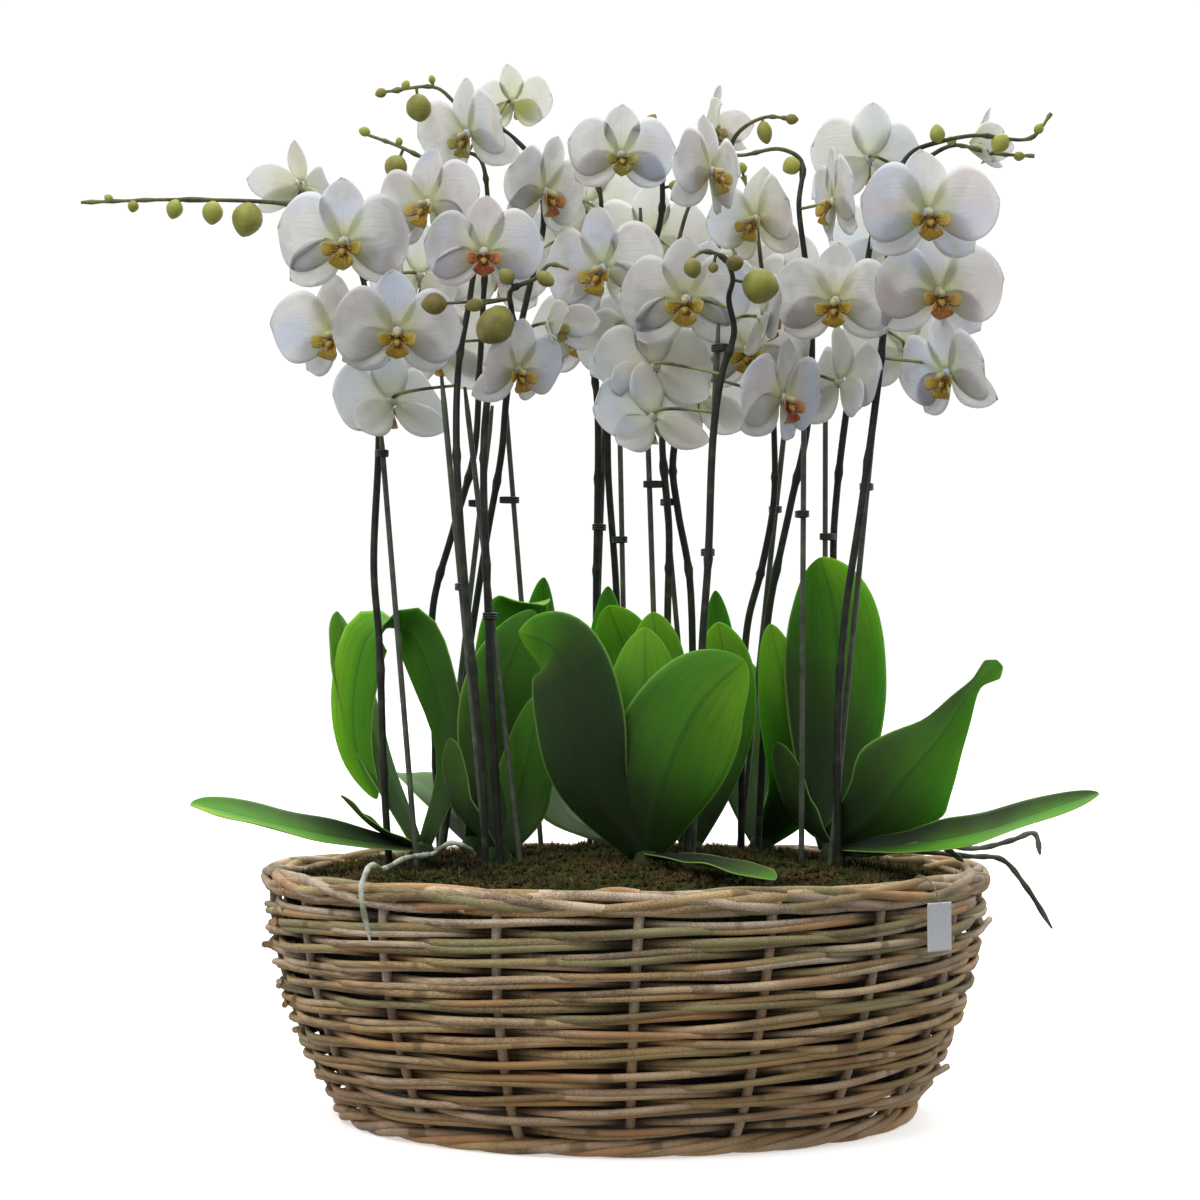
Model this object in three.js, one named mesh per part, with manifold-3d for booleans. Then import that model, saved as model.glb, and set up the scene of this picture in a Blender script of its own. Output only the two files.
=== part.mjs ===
// A round rattan basket of moth orchids, in millimetres and +Z up. The origin is the centre of its
// underside, the front of the arrangement looks along -Y, and +X is to its right.
import * as THREE from 'three';
import { mergeVertices } from 'three/addons/utils/BufferGeometryUtils.js';
import Module from 'manifold-3d';

const wasm = await Module();
wasm.setup();

// Driving dimensions of the basket. GAP is between pieces that rest on each other, HOLE round a filled hole
const GAP = 0.3;
const HOLE = 0.4;
const SEGMENTS = 36;
const STAKE_PAIRS = 8;
const WALL_PROFILE = [
  [0, 198], [14, 208], [30, 220], [52, 230], [78, 240], [105, 248], [134, 254], [158, 256],
];
const WALL = { thickness: 11, foot: 187, floor: 12, inside: [157.4, 105, 52, 30] };
const WEAVE = { rows: 9, first: 16, top: 157.4, ridge: 2.2, mean: 0.6, swing: 0.8, groove: 1.2 };
const FOOT = { radius: 202.6, size: 6, height: 6.6, swell: 0.7, trim: 0.6 };
const RIM = { radius: 251.6, size: 8.2, height: 167, corners: 6, turns: 6, lay: 0.1 };
const BASE = { radius: 186, thickness: 7, segments: 24 };
const LINER = { wall: 1.2, slack: 2, corner: 178, crease: 1, segments: 18, heights: [32, 78, 156] };
const TAG = { turn: -40, skew: 12, width: 22, thickness: 1.2, height: 32, radius: 266.5, middle: 145 };
const TAG_WIRE = { radius: 0.7, sides: 4, path: [[266.5, 157], [262.5, 169.8], [256, 176.5], [248, 177.3]] };

// Driving dimensions of the filling and of what stands in it
const BARK = { top: 150, corner: 173 };
const MOSS = { edge: 241, foot: 238, side: 157, rise: 18, skirt: 163, bump: 1.5, waves: [17, 14, 23] };
const MOSS_RINGS = [230, 160, 85, 0];
const NECK = { radius: 12, bottom: 112, top: 190, sides: 6 };
const ROOT = { radius: 1.9, start: 182, sides: 3 };
const STICK = { radius: 2.2, bottom: 72, sides: 3 };
const CLIP = { radius: 2.8, sides: 4, back: 5, reach: 9, clear: 0.5 };
const STALK = { foot: 2.8, tip: 1.7, sides: 3, even: 0.4, flowering: 425 };
const STEM = { root: 0.9, end: 1.2, sides: 3, socket: [2.4, 2.6, -3], behind: -14, bend: 34 };
const BUD = { rings: [-0.2, 0.22], ring: [-0.08], large: 12, stem: 1, into: -0.2 };

const FINISH = {
  rattan: { color: 0x8c7a5e, roughness: 0.75 },
  liner: { color: 0x1d1d1b, roughness: 0.5 },
  bark: { color: 0x4a3222, roughness: 0.95 },
  moss: { color: 0x3d4420, roughness: 1.0 },
  leaf: { color: 0x2f6a1c, roughness: 0.4 },
  petal: { color: 0xf2f2ee, roughness: 0.55 },
  stick: { color: 0x26302a, roughness: 0.5 },
  tag: { color: 0xe9e9e6, roughness: 0.6 },
};

const vec = (x, y, z) => new THREE.Vector3(x, y, z);
const toVectors = (rows) => rows.map(([x, y, z]) => vec(x, y, z));
const degrees = (angle) => (angle * Math.PI) / 180;

// Closed meshes from points and faces, turned so that their faces point out
function closedMesh(points, faces) {
  let volume = 0;
  for (const [a, b, c] of faces) {
    volume += points[a].dot(points[b].clone().cross(points[c]));
  }
  const order = volume < 0 ? faces.map(([a, b, c]) => [a, c, b]) : faces;
  const geometry = new THREE.BufferGeometry();
  const values = points.flatMap((point) => [point.x, point.y, point.z]);
  geometry.setAttribute('position', new THREE.Float32BufferAttribute(values, 3));
  geometry.setIndex(order.flat());
  return geometry;
}

function solidOf(geometry) {
  const bare = geometry.clone();
  bare.deleteAttribute('normal');
  bare.deleteAttribute('uv');
  const merged = mergeVertices(bare, 1e-3);
  const corners = merged.index.array;
  const triVerts = [];
  for (let i = 0; i < corners.length; i += 3) {
    const [a, b, c] = [corners[i], corners[i + 1], corners[i + 2]];
    if (a !== b && b !== c && c !== a) {
      triVerts.push(a, b, c);
    }
  }
  const vertProperties = new Float32Array(merged.attributes.position.array);
  const mesh = new wasm.Mesh({ numProp: 3, vertProperties, triVerts: new Uint32Array(triVerts) });
  return new wasm.Manifold(mesh);
}

const joined = (solids) => solids.reduce((whole, solid) => whole.add(solid));

function geometryOf(solid) {
  const mesh = solid.getMesh();
  const geometry = new THREE.BufferGeometry();
  geometry.setAttribute('position', new THREE.BufferAttribute(mesh.vertProperties, 3));
  geometry.setIndex(new THREE.BufferAttribute(mesh.triVerts, 1));
  geometry.computeVertexNormals();
  return geometry;
}

// A tube through a list of points, with a radius for each point and flat ends
function tube(points, radii, sides) {
  const rings = [];
  const faces = [];
  let across = null;
  points.forEach((point, i) => {
    const before = points[Math.max(i - 1, 0)];
    const after = points[Math.min(i + 1, points.length - 1)];
    const along = after.clone().sub(before).normalize();
    across = across ?? (Math.abs(along.y) < 0.9 ? vec(0, 1, 0) : vec(1, 0, 0));
    across = across.clone().addScaledVector(along, -across.dot(along)).normalize();
    const other = along.clone().cross(across);
    for (let k = 0; k < sides; k += 1) {
      const angle = (2 * Math.PI * (k + 0.5)) / sides;
      const corner = point.clone().addScaledVector(across, radii[i] * Math.cos(angle));
      rings.push(corner.addScaledVector(other, radii[i] * Math.sin(angle)));
    }
  });
  for (let i = 0; i + 1 < points.length; i += 1) {
    for (let k = 0; k < sides; k += 1) {
      const [a, b] = [i * sides + k, i * sides + ((k + 1) % sides)];
      faces.push([a, b, b + sides], [a, b + sides, a + sides]);
    }
  }
  const last = (points.length - 1) * sides;
  for (let k = 1; k + 1 < sides; k += 1) {
    faces.push([0, k + 1, k], [last, last + k, last + k + 1]);
  }
  return closedMesh(rings, faces);
}

// A ring made by carrying a closed section round the Z axis; the section may change with the angle
function carriedRing(sectionAt, segments) {
  const points = [];
  const faces = [];
  const count = sectionAt(0).length;
  for (let i = 0; i < segments; i += 1) {
    const angle = (2 * Math.PI * i) / segments;
    for (const [radius, z] of sectionAt(angle)) {
      points.push(vec(radius * Math.cos(angle), radius * Math.sin(angle), z));
    }
  }
  for (let i = 0; i < segments; i += 1) {
    const next = ((i + 1) % segments) * count;
    for (let k = 0; k < count; k += 1) {
      const [a, b] = [i * count + k, i * count + ((k + 1) % count)];
      const [c, d] = [next + ((k + 1) % count), next + k];
      faces.push([a, b, c], [a, c, d]);
    }
  }
  return closedMesh(points, faces);
}

function lathed(profile, segments) {
  const points = profile.map(([radius, z]) => new THREE.Vector2(radius, z));
  return new THREE.LatheGeometry(points, segments).rotateX(Math.PI / 2);
}

// The basket
function radiusAt(profile, z) {
  const next = Math.max(1, profile.findIndex(([height]) => height >= z));
  const [z0, r0] = profile[next - 1];
  const [z1, r1] = profile[next];
  return r0 + ((r1 - r0) * (z - z0)) / (z1 - z0);
}

const wallRadius = (z) => radiusAt(WALL_PROFILE, z);
const innerRadius = (z) => wallRadius(z) - WALL.thickness;
const LINER_INSIDE = LINER.heights.map((z) => [z, innerRadius(z) - LINER.slack - LINER.wall]);

function wallSection(angle) {
  const recess = FOOT.radius - FOOT.size + FOOT.trim - HOLE;
  const section = [[WALL.foot, 0], [recess, 0], [recess, 2 * FOOT.height + HOLE]];
  const pitch = (WEAVE.top - WEAVE.first) / WEAVE.rows;
  for (let row = 0; row < WEAVE.rows; row += 1) {
    const middle = WEAVE.first + (row + 0.5) * pitch;
    const groove = middle + pitch / 2;
    const swing = WEAVE.swing * Math.cos(STAKE_PAIRS * angle + row * Math.PI);
    section.push([wallRadius(middle) + WEAVE.ridge * (WEAVE.mean + swing), middle]);
    section.push([wallRadius(groove) - WEAVE.groove, groove]);
  }
  for (const z of WALL.inside) {
    section.push([innerRadius(z), z]);
  }
  section.push([WALL.foot, WALL.floor]);
  return section;
}

// A border of canes twisted round each other, seen as slanting ridges on a ring
function rimSection(angle) {
  const { radius, size, height, corners, turns, lay } = RIM;
  return Array.from({ length: corners }, (_, k) => {
    const round = (2 * Math.PI * (k + 0.5)) / corners;
    const bulge = size * (1 + lay * Math.cos((corners / 2) * round + turns * angle));
    return [radius + bulge * Math.cos(round), height + bulge * Math.sin(round)];
  });
}

// The foot lies flat on the ground, so its two lowest corners are level
function footSection(angle) {
  const { radius, size, height } = FOOT;
  const out = radius + size + FOOT.swell * Math.cos(2 * STAKE_PAIRS * angle);
  const low = size - FOOT.trim;
  const top = 2 * height;
  return [[radius - low, 0], [radius + low, 0], [out, height], [radius + low, top], [radius - low, top]];
}

function makeLiner() {
  const low = BASE.thickness + GAP;
  const floor = low + LINER.wall;
  const outer = LINER_INSIDE.map(([z, radius]) => [radius + LINER.wall, z]);
  const inner = LINER_INSIDE.map(([z, radius]) => [radius, z]).reverse();
  const bottom = [[LINER.corner - LINER.crease, floor], [0, floor]];
  return solidOf(lathed([[0, low], [LINER.corner, low], ...outer, ...inner, ...bottom], LINER.segments));
}

// The filling: bark up to the moss, and a thin heap of moss over it
function makeBark() {
  const floor = BASE.thickness + LINER.wall + 2 * GAP;
  const heights = [...LINER.heights.slice(0, -1), BARK.top];
  const side = heights.map((z) => [radiusAt(LINER_INSIDE, z) - HOLE, z]);
  const profile = [[0, floor], [BARK.corner, floor], ...side, [0, BARK.top]];
  return solidOf(lathed(profile, LINER.segments));
}

function mossHeight(x, y) {
  const reach = Math.min(1, Math.hypot(x, y) / MOSS.edge);
  const [long, wide, slanted] = MOSS.waves;
  const lumps = Math.sin(x / long) * Math.cos(y / wide) + Math.sin((x + y) / slanted);
  return MOSS.skirt + MOSS.rise * (1 - reach * reach) + MOSS.bump * lumps;
}

function makeMoss() {
  const low = BARK.top + GAP;
  const top = MOSS_RINGS.map((radius) => [radius, MOSS.skirt]);
  const geometry = lathed([[0, low], [MOSS.foot, low], [MOSS.edge, MOSS.side], ...top], LINER.segments);
  const places = geometry.attributes.position;
  for (let i = 0; i < places.count; i += 1) {
    if (places.getZ(i) > MOSS.skirt - 1) {
      places.setZ(i, mossHeight(places.getX(i), places.getY(i)));
    }
  }
  return solidOf(geometry);
}

// Leaves: a thin blade, thickest along its midrib, folded a little and sharp at its edges
const LEAF_STEPS = [[0, 0.24], [0.2, 0.64], [0.5, 1], [0.82, 0.76], [1, 0]];
const ARCHED_STEPS = [
  [0, 0.24], [0.18, 0.6], [0.34, 0.9], [0.5, 1], [0.62, 1], [0.74, 0.9], [0.88, 0.6], [1, 0],
];
const CURLED_STEPS = [
  [0, 0.3], [0.2, 0.8], [0.38, 1], [0.5, 0.75], [0.6, 0.46], [0.7, 0.28], [0.8, 0.08], [0.97, 0.25], [1, 0],
];
const LEAF_FOLD = 0.16;

function leafBlade({ path, width, across, steps = LEAF_STEPS, fold = LEAF_FOLD, thick = 1.3 }) {
  const curve = new THREE.CatmullRomCurve3(toVectors(path), false, 'centripetal');
  const [first, last] = across.map(([x, y, z]) => vec(x, y, z).normalize());
  const points = [];
  const faces = [];
  for (const [reach, share] of steps) {
    const at = curve.getPoint(reach);
    const along = curve.getTangent(reach);
    const side = first.clone().lerp(last, reach);
    side.addScaledVector(along, -side.dot(along)).normalize();
    const up = along.clone().cross(side);
    const half = (share * width) / 2;
    if (share === 0) {
      points.push(at);
      continue;
    }
    const lift = up.clone().multiplyScalar(half * fold);
    points.push(at.clone().addScaledVector(side, half).add(lift));
    points.push(at.clone().addScaledVector(up, thick));
    points.push(at.clone().addScaledVector(side, -half).add(lift));
    points.push(at.clone().addScaledVector(up, -thick));
  }
  const full = steps.length - 1;
  for (let i = 0; i < full; i += 1) {
    for (let k = 0; k < 4; k += 1) {
      const [a, b] = [4 * i + k, 4 * i + ((k + 1) % 4)];
      if (i + 1 === full) {
        faces.push([a, b, 4 * full]);
      } else if (k % 2 === 0) {
        faces.push([a, b, b + 4], [a, b + 4, a + 4]);
      } else {
        faces.push([a, b, a + 4], [b, b + 4, a + 4]);
      }
    }
  }
  faces.push([0, 2, 1], [0, 3, 2]);
  return solidOf(closedMesh(points, faces));
}

function neckOf([x, y], grow = 0) {
  const places = [vec(x, y, NECK.bottom - grow), vec(x, y, NECK.top + grow)];
  return solidOf(tube(places, [NECK.radius + grow, NECK.radius + grow], NECK.sides));
}

function makeRosette({ crown, leaves, roots = [] }) {
  const parts = [neckOf(crown)];
  for (const leaf of leaves) {
    const start = [...crown, leaf.path[0][2]];
    parts.push(leafBlade({ ...leaf, path: [start, ...leaf.path.slice(1)] }));
  }
  for (const root of roots) {
    const places = toVectors([[...crown, ROOT.start], ...root]);
    parts.push(solidOf(tube(places, places.map(() => ROOT.radius), ROOT.sides)));
  }
  return joined(parts);
}

// One bloom, built with its face to +Z and its top to +Y, is a single closed sheet: a small hub and six
// blades, each at its own clock angle. A blade's outline has rows of along, across and lift
const SEPAL = [[18, -15, -1], [35, -15, -3], [46, 0, -5], [35, 15, -3], [18, 15, -1]];
const PETAL = [[14, -17, 0], [34, -28, 1], [50, -13, 3], [50, 11, 3], [33, 27, 1], [14, 16, 0]];
const LIP = [[9, -12, 8], [15, -8, 9], [20, 0, 10], [15, 8, 9], [9, 12, 8]];
const HUB = { radius: 6, front: 9, back: -8 };
const BLADE_FOOT = 0.8;
const CLOSING = { lean: 75, petalLean: 1.15, sepal: 0.43, petal: 0.5, lip: 0.6 };

function bladesOf(open) {
  const lean = (1 - open) * CLOSING.lean;
  const narrowed = (share) => (open < 1 ? share : 1);
  const sepal = { outline: SEPAL, middle: [27, 0.3, -1.9], root: -2, lean, narrow: narrowed(CLOSING.sepal) };
  const petal = {
    outline: PETAL,
    middle: [31, 2.8, 1.2],
    root: 1,
    lean: lean * CLOSING.petalLean,
    narrow: narrowed(CLOSING.petal),
  };
  const lip = { outline: LIP, middle: [13, 5.5, 2.5], root: 0, lean: 0, narrow: narrowed(CLOSING.lip) };
  const mirrored = PETAL.map(([along, across, lift]) => [along, -across, lift]).reverse();
  return [
    { ...petal, clock: 8, spread: 15 },
    { ...sepal, clock: 90, spread: 20 },
    { ...petal, clock: 172, spread: 15, outline: mirrored },
    { ...sepal, clock: 213, spread: 15 },
    { ...lip, clock: 270, spread: 20 },
    { ...sepal, clock: 327, spread: 15 },
  ];
}

// Corners of a blade: two in front and one behind at its foot, its outline, then its middle on both faces
function bladeCorners({ outline, middle, root, lean, narrow, clock, spread }) {
  const place = (along, across, lift) => {
    const point = vec(along - HUB.radius, narrow * across, lift);
    point.applyAxisAngle(vec(0, 1, 0), -degrees(lean)).add(vec(HUB.radius, 0, root));
    return point.applyAxisAngle(vec(0, 0, 1), degrees(clock));
  };
  const corner = (side, lift) => {
    const angle = degrees(clock + side * spread);
    return vec(HUB.radius * Math.cos(angle), HUB.radius * Math.sin(angle), root + lift);
  };
  const foot = [corner(-1, BLADE_FOOT), corner(1, BLADE_FOOT), corner(0, -BLADE_FOOT)];
  const [along, front, back] = middle;
  return [...foot, ...outline.map((row) => place(...row)), place(along, 0, front), place(along, 0, back)];
}

function bloomSheet(open) {
  const [front, back] = [0, 1];
  const points = [vec(0, 1, HUB.front), vec(0, 0, HUB.back)];
  const faces = [];
  const blades = bladesOf(open);
  const starts = blades.map((blade) => {
    points.push(...bladeCorners(blade));
    return points.length - blade.outline.length - 5;
  });
  starts.forEach((start, i) => {
    const count = blades[i].outline.length;
    const rim = Array.from({ length: count }, (_, k) => start + 3 + k);
    const [right, left, behind] = [start, start + 1, start + 2];
    const [over, under] = [start + 3 + count, start + 4 + count];
    const above = [right, ...rim, left];
    const below = [behind, ...rim];
    above.forEach((at, k) => faces.push([over, at, above[(k + 1) % above.length]]));
    below.forEach((at, k) => faces.push([under, below[(k + 1) % below.length], at]));
    const next = starts[(i + 1) % starts.length];
    faces.push([rim[0], right, behind], [left, rim[count - 1], behind]);
    faces.push([front, right, left], [front, left, next], [back, next + 2, behind]);
    const rises = blades[(i + 1) % blades.length].root > blades[i].root;
    faces.push(...(rises
      ? [[next, left, next + 2], [left, behind, next + 2]]
      : [[next, left, behind], [next, behind, next + 2]]));
  });
  return closedMesh(points, faces);
}

// A bloom's row is x, y, z of its middle, its turn to the right, its nod down, its size and how far it opens
function bloomFrame([x, y, z, turn, nod, size]) {
  const face = vec(Math.sin(degrees(turn)), -Math.cos(degrees(turn)), 0);
  face.multiplyScalar(Math.cos(degrees(nod))).setZ(-Math.sin(degrees(nod)));
  const right = vec(Math.cos(degrees(turn)), Math.sin(degrees(turn)), 0);
  const up = face.clone().cross(right);
  const matrix = new THREE.Matrix4().makeBasis(right, up, face);
  matrix.scale(vec(size, size, size)).setPosition(x, y, z);
  return { matrix, face, socket: vec(...STEM.socket).applyMatrix4(matrix) };
}

function bloomSolid(row) {
  return solidOf(bloomSheet(row[6] ?? 1).applyMatrix4(bloomFrame(row).matrix));
}

// The flower stem leaves the nearest place on the stalk and comes into the bloom from behind
function nearestOn(points, target) {
  let best = null;
  for (let i = 0; i + 1 < points.length; i += 1) {
    const span = new THREE.Line3(points[i], points[i + 1]);
    const spot = span.closestPointToPoint(target, true, vec(0, 0, 0));
    if (!best || spot.distanceTo(target) < best.distanceTo(target)) {
      best = spot;
    }
  }
  return best;
}

function bloomStem(rachis, row) {
  const { face, socket } = bloomFrame(row);
  const behind = socket.clone().addScaledVector(face, STEM.behind);
  const root = nearestOn(rachis, behind);
  const bend = new THREE.QuadraticBezierCurve3(root, behind, socket);
  const points = bend.getPoints(root.distanceTo(socket) > STEM.bend ? 2 : 1);
  return tube(points, points.map((_, i) => (i === 0 ? STEM.root : STEM.end)), STEM.sides);
}

// A bud is pointed at both ends; a large one has two rings of corners and a small one a single ring
function budBody(spot, wide, large) {
  const along = spot(1).sub(spot(0)).normalize();
  const across = Math.abs(along.z) < 0.9 ? vec(0, 0, 1) : vec(1, 0, 0);
  across.addScaledVector(along, -across.dot(along)).normalize();
  const other = along.clone().cross(across);
  const rings = large ? BUD.rings : BUD.ring;
  const points = [spot(-0.5), spot(0.5)];
  for (const reach of rings) {
    for (const [u, v] of [[1, 0], [0, 1], [-1, 0], [0, -1]]) {
      const corner = spot(reach).addScaledVector(across, (u * wide) / 2);
      points.push(corner.addScaledVector(other, (v * wide) / 2));
    }
  }
  const faces = [];
  const last = points.length - 4;
  for (let k = 0; k < 4; k += 1) {
    const next = (k + 1) % 4;
    faces.push([0, 2 + next, 2 + k], [1, last + k, last + next]);
    if (large) {
      faces.push([2 + k, 2 + next, last + next], [2 + k, last + next, last + k]);
    }
  }
  return solidOf(closedMesh(points, faces));
}

// A bud's row is x, y, z of its middle, its length and its thickness. It hangs from the stalk
function budSolid(rachis, [x, y, z, long, wide]) {
  const middle = vec(x, y, z);
  const root = nearestOn(rachis, middle);
  const away = middle.clone().sub(root);
  const along = away.length() > 2 ? away.normalize() : rachis.at(-1).clone().sub(rachis.at(-2)).normalize();
  const spot = (reach) => middle.clone().addScaledVector(along, reach * long);
  const body = budBody(spot, wide, long > BUD.large);
  if (root.distanceTo(middle) < long / 2) {
    return body;
  }
  const stem = tube([root, spot(BUD.into)], [BUD.stem, BUD.stem], STEM.sides);
  return body.add(solidOf(stem));
}

// The part of a stalk that carries the blooms
function rachisOf(stalk) {
  const first = stalk.findIndex(([, , z]) => z > STALK.flowering);
  return toVectors(stalk.slice(Math.max(0, first - 1)));
}

function stalkRadii(stalk) {
  return stalk.map((_, i) => {
    const share = i / (stalk.length - 1);
    const taper = Math.max(0, (share - STALK.even) / (1 - STALK.even));
    return STALK.foot + (STALK.tip - STALK.foot) * taper;
  });
}

function makeSpray({ stalk, blooms, buds = [] }) {
  const rachis = rachisOf(stalk);
  const parts = [solidOf(tube(toVectors(stalk), stalkRadii(stalk), STALK.sides))];
  for (const row of blooms) {
    parts.push(solidOf(bloomStem(rachis, row)), bloomSolid(row));
  }
  for (const row of buds) {
    parts.push(budSolid(rachis, row));
  }
  return joined(parts);
}

// Support sticks, each with the clips that hold its stalk
function alongStick([low, high], z) {
  const share = (z - low[2]) / (high[2] - low[2]);
  return vec(low[0] + (high[0] - low[0]) * share, low[1] + (high[1] - low[1]) * share, z);
}

function stickBody(ends, grow = 0) {
  const places = [alongStick(ends, STICK.bottom - grow), alongStick(ends, ends[1][2])];
  return solidOf(tube(places, [STICK.radius + grow, STICK.radius + grow], STICK.sides));
}

function onStalk(stalk, z) {
  const next = Math.max(1, stalk.findIndex((row) => row[2] >= z));
  return alongStick([stalk[next - 1], stalk[next]], z);
}

function makeStick({ stick, stalk, clips }) {
  const parts = [stickBody(stick)];
  for (const z of clips) {
    const centre = alongStick(stick, z);
    const towards = onStalk(stalk, z).sub(centre);
    const reach = Math.min(towards.length() - STALK.foot - CLIP.clear, CLIP.reach);
    towards.normalize();
    const ends = [-CLIP.back, reach].map((far) => centre.clone().addScaledVector(towards, far));
    parts.push(solidOf(tube(ends, [CLIP.radius, CLIP.radius], CLIP.sides)));
  }
  return joined(parts);
}

// A blank tag that hangs from the rim by a short loop of wire
function makeTag() {
  const turn = degrees(TAG.turn);
  const at = (radius, z) => vec(radius * Math.cos(turn), radius * Math.sin(turn), z);
  const plate = new THREE.BoxGeometry(TAG.width, TAG.thickness, TAG.height);
  plate.rotateZ(turn + Math.PI / 2 - degrees(TAG.skew)).translate(...at(TAG.radius, TAG.middle).toArray());
  const path = TAG_WIRE.path.map(([radius, z]) => at(radius, z));
  const loop = tube(path, path.map(() => TAG_WIRE.radius), TAG_WIRE.sides);
  return solidOf(plate).add(solidOf(loop));
}

// The eight plants. A leaf has the path of its midrib, its width, and the way it lies across at foot and tip
const PLANTS = [
  {
    crown: [-146, -8],
    leaves: [
      {
        path: [
          [0, 0, 184], [-126, 4, 250], [-138, 10, 305], [-158, 16, 344], [-184, 20, 343], [-197, 20, 300],
          [-195, 18, 256], [-180, 14, 221],
        ],
        width: 44, across: [[0.8, -0.6, 0], [0.9, -0.45, 0]], steps: ARCHED_STEPS, fold: 0.04,
      },
      {
        path: [[0, 0, 184], [-184, 34, 262], [-202, 44, 322], [-213, 46, 358]],
        width: 44, across: [[0.5, 0.8, 0], [0.5, 0.8, 0]],
      },
      {
        path: [[0, 0, 186], [-195, -38, 195], [-235, -56, 204], [-275, -70, 215], [-301, -78, 221]],
        width: 46, across: [[0.25, -0.85, -0.35], [0.25, -0.85, -0.35]],
      },
      {
        path: [[0, 0, 186], [-180, -20, 204], [-202, -24, 225]],
        width: 24, across: [[0.1, -1, 0], [0, -1, 0.2]],
      },
    ],
    roots: [
      [
        [-138, -52, 184], [-150, -110, 186], [-161, -160, 182], [-167, -196, 186], [-171, -209, 172],
        [-165, -213, 140],
      ],
    ],
  },
  {
    crown: [-90, -42],
    leaves: [
      {
        path: [[0, 0, 184], [-92, -20, 250], [-86, -22, 307], [-66, -18, 357]],
        width: 58, across: [[1, 0.1, 0], [1, 0.1, 0.4]],
      },
      {
        path: [[0, 0, 184], [-76, -30, 222], [-60, -38, 298]],
        width: 42, across: [[1, -0.2, 0], [1, -0.2, 0]],
      },
      {
        path: [[0, 0, 184], [-118, -42, 222], [-124, -44, 266]],
        width: 32, across: [[0.5, -1, 0], [0.8, -0.8, 0]],
      },
    ],
  },
  {
    crown: [-114, 98],
    leaves: [
      {
        path: [[0, 0, 184], [-92, 60, 264], [-84, 50, 329], [-74, 40, 362], [-60, 24, 362]],
        width: 52, across: [[1, 0.4, 0], [1, 0.3, 0]],
      },
      {
        path: [[0, 0, 184], [-84, 80, 240], [-66, 72, 310], [-60, 62, 384]],
        width: 40, across: [[1, 0.5, 0], [1, 0.5, 0]],
      },
      {
        path: [[0, 0, 184], [-138, 140, 214], [-176, 186, 234], [-206, 216, 226]],
        width: 56, across: [[-0.9, -0.5, 0], [-0.8, -0.6, 0.2]],
      },
      {
        path: [[0, 0, 184], [-112, 150, 240], [-108, 176, 290], [-104, 190, 330]],
        width: 54, across: [[1, 0, 0], [1, 0, 0]],
      },
    ],
  },
  {
    crown: [-8, 98],
    leaves: [
      {
        path: [[0, 0, 184], [-12, 84, 277], [-12, 78, 378]],
        width: 36, across: [[1, 0, 0], [1, 0.2, 0]],
      },
      {
        path: [[0, 0, 184], [6, 66, 263], [0, 54, 330], [-12, 42, 362]],
        width: 50, across: [[1, 0, 0], [1, 0, 0.2]],
      },
      {
        path: [[0, 0, 184], [35, 106, 204], [50, 174, 236], [56, 236, 232]],
        width: 56, across: [[0.4, -0.9, 0], [1, -0.2, 0]],
      },
      {
        path: [[0, 0, 184], [-44, 112, 206], [-60, 160, 262], [-64, 182, 330]],
        width: 50, across: [[0.4, 0.9, 0], [1, 0.3, 0]],
      },
    ],
  },
  {
    crown: [14, -84],
    leaves: [
      {
        path: [[0, 0, 184], [-24, -108, 236], [-35, -118, 286], [-46, -116, 326], [-73, -104, 340]],
        width: 66, across: [[1, -0.1, 0.1], [0.6, -0.6, 0.4]],
      },
      {
        path: [[0, 0, 184], [10, -88, 238], [13, -90, 293], [13, -84, 343]],
        width: 58, across: [[1, 0.1, 0], [1, 0.1, 0]],
      },
      {
        path: [[0, 0, 186], [22, -108, 226], [34, -118, 262], [53, -120, 295], [80, -114, 320]],
        width: 82, across: [[1, 0.1, -0.3], [0.8, 0.2, -0.7]],
      },
      {
        path: [[0, 0, 187], [49, -140, 185], [74, -180, 182], [94, -205, 178]],
        width: 34, across: [[0.8, 0.5, 0], [0.8, 0.5, 0.1]],
      },
    ],
  },
  {
    crown: [48, 28],
    leaves: [
      {
        path: [[0, 0, 184], [30, 8, 264], [24, 2, 322], [20, -4, 356]],
        width: 44, across: [[1, 0.3, 0], [1, 0.2, 0]],
      },
      {
        path: [[0, 0, 184], [66, 24, 249], [73, 18, 307], [68, 8, 349]],
        width: 50, across: [[1, 0.2, 0], [1, 0.1, 0]],
      },
      {
        path: [[0, 0, 184], [70, 48, 255], [71, 62, 320], [68, 58, 374]],
        width: 28, across: [[1, -0.4, 0], [1, -0.2, 0]],
      },
    ],
  },
  {
    crown: [150, 4],
    leaves: [
      {
        path: [[0, 0, 184], [154, 14, 249], [155, 16, 307], [152, 12, 358], [142, 4, 396]],
        width: 76, across: [[1, 0.2, 0], [1, 0.1, 0]],
      },
      {
        path: [
          [0, 0, 188], [180, -34, 214], [197, -46, 238], [222, -50, 268], [246, -49, 304],
          [264, -44, 319],
        ],
        width: 76, across: [[0.75, -0.1, -0.65], [0.75, -0.1, -0.65]], steps: CURLED_STEPS,
      },
      {
        path: [
          [0, 0, 186], [188, -56, 192], [214, -86, 197], [245, -100, 204], [281, -112, 217],
          [320, -114, 230],
        ],
        width: 44, across: [[0.4, 0.8, 0.3], [0.2, 0.8, 0.55]],
      },
      {
        path: [[0, 0, 184], [126, 8, 214], [110, 4, 262]],
        width: 32, across: [[0.3, -1, 0], [0.9, -0.6, 0]],
      },
    ],
    roots: [
      [[200, -30, 186], [240, -58, 184], [262, -62, 182], [278, -62, 164], [297, -60, 134]],
      [[200, -18, 194], [247, -34, 188], [272, -40, 194], [288, -42, 199], [292, -42, 184]],
    ],
  },
  {
    crown: [104, 98],
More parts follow.
